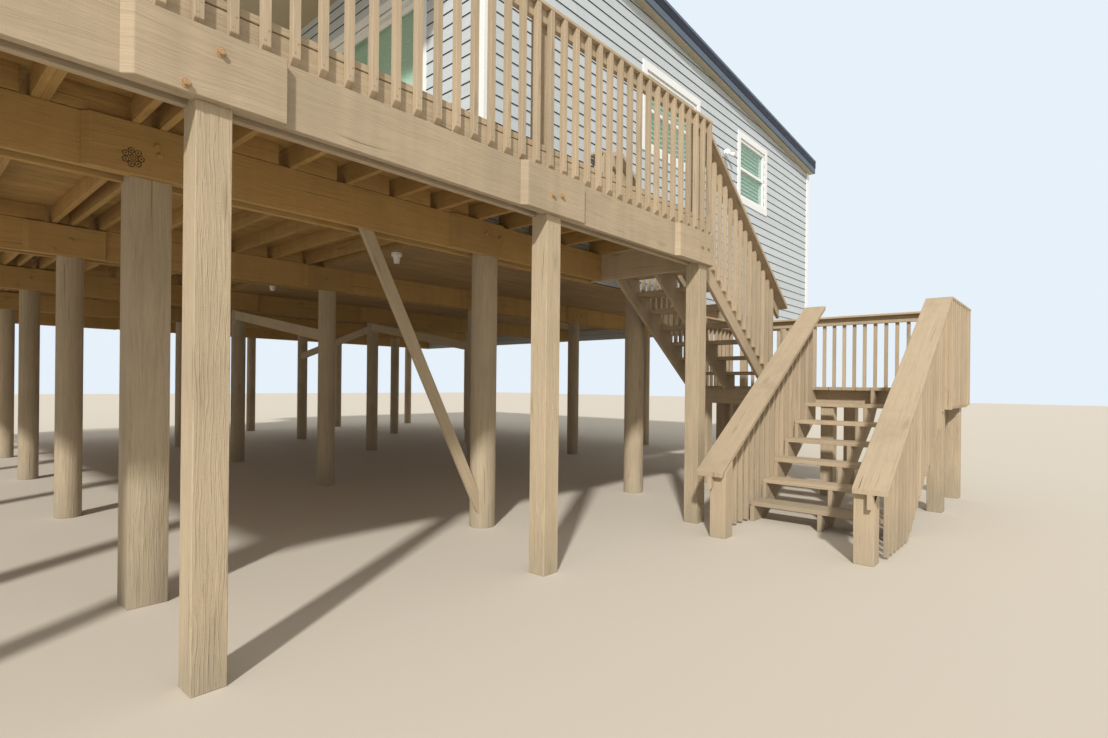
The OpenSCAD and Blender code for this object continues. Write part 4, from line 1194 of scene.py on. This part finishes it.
def make_bolts():
    """Pairs of bolts through the splice boards: rusty ones outside, painted ones under the deck."""
    bolts, painted = Stack(), Stack()
    centres = [pile_places(node) for node in ("deck_posts", "front_piles", "back_piles")]
    boards = solid_boxes("splice_boards")
    z0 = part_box("splice_boards")[0][2]
    first_row = min(y for x, y in centres[1])
    for low, high in boards:
        near = [(x, y) for place in centres for x, y in place
                if low[0] < x < high[0] and 0 < y - high[1] < BOARD_W]
        if not near:
            continue
        x, y = near[0]
        if y < first_row - 0.5:
            pair = RIM_BOLTS[sorted(c[0] for c in centres[0]).index(x)]
        elif y < first_row + 0.5:
            square = high[0] - x > 0.2
            pair = SQUARE_PILE_BOLTS if square else CORNER_PILE_BOLTS
            if square:
                make_knots(x - 0.101, low[1], z0 + 0.09)
        else:
            pair = NEAR_PILE_BOLTS if x < -3.5 else PILE_BOLTS
        for dx, dz in pair:
            bolt(bolts if y < first_row - 0.5 else painted, x + dx, low[1], z0 + dz)
    bolts.done("bolts", "rust")
    painted.done("painted_bolts", "beam")


def lathe(profile, centre, axis, sides=32):
    """A closed solid turned about a line through centre, profile as (radius, distance) pairs."""
    bm = bmesh.new()
    rings = [[bm.verts.new((a, b, distance)) for a, b in circle(0, 0, radius, sides)]
             for radius, distance in profile]
    for lower, upper in zip(rings, rings[1:]):
        for i in range(sides):
            j = (i + 1) % sides
            bm.faces.new((lower[i], lower[j], upper[j], upper[i])).smooth = True
    bm.faces.new(rings[0][::-1])
    bm.faces.new(rings[-1])
    bmesh.ops.recalc_face_normals(bm, faces=bm.faces)
    turn = Vector((0, 0, 1)).rotation_difference(Vector(axis)).to_matrix().to_4x4()
    bm.transform(Matrix.Translation(centre) @ turn)
    return mesh_of(bm, "lathe")


def make_wall_lamp():
    """Twin spot lamps on a round plate, left of the narrow window."""
    wall_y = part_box("front_wall")[0][1] - LAP_PROUD
    x, z = 3.07, 4.79
    meshes = [lathe([(0.05, 0), (0.05, 0.02), (0.02, 0.03)], (x, wall_y, z), (0, -1, 0))]
    spot = [(0.010, -0.03), (0.015, 0.0), (0.024, 0.02), (0.038, 0.075), (0.038, 0.083), (0.032, 0.081)]
    for way in (-1, 1):
        aim = Vector((way * 0.75, -0.6, -0.28)).normalized()
        base = Vector((x + way * 0.035, wall_y - 0.045, z))
        meshes.append(lathe(spot, base, aim, 24))
    join_meshes("wall_lamp", meshes, "vinyl")


# The whole
def make_timber_frame():
    for node in ("rim_beam", "upper_treads", "upper_stringers", "lower_stringers", "lower_treads",
                 "deck_end_beam"):
        from_node(node, "timber")
    for node in ("splice_boards", "front_beam", "inner_beams"):
        from_node(node, "beam")
    for node in ("deck_posts", "landing_posts", "knee_braces"):
        from_node(node, "post")
    from_node("end_guard", "timber", along=(0, 0, 1))
    from_node("landing_frame", "timber", along=(0, 1, 0))
    from_node("front_piles", "pile", piles=True)
    from_node("back_piles", "pile", piles=True)


def make_trim():
    for node in ("window_casings", "corner_boards"):
        from_node(node, "trim", 0.002)
    for node in ("window_sashes", "door_frame", "door_panels"):
        from_node(node, "vinyl", 0.002)
    for node in ("front_wall", "back_wall", "left_wall", "right_wall"):
        finish_node(node, "lap")
    for node, material in (("window_panes", "glass"), ("door_panes", "glass"), ("roof", "roof"),
                           ("roof_edge", "fascia"), ("porch_ceiling", "soffit"), ("house_floor", "under"),
                           ("underfloor_lamps", "vinyl")):
        finish_node(node, material)


make_camera()
make_light()
make_floor()
make_timber_frame()
make_deck_floor()
make_landing_floor()
make_joists()
make_deck_guards()
make_landing_guard()
make_upper_guards()
make_lower_guards()
make_trim()
make_siding()
make_blinds()
make_roof_ribs()
make_roof_trim()
make_underfloor()
make_bolts()
make_wall_lamp()
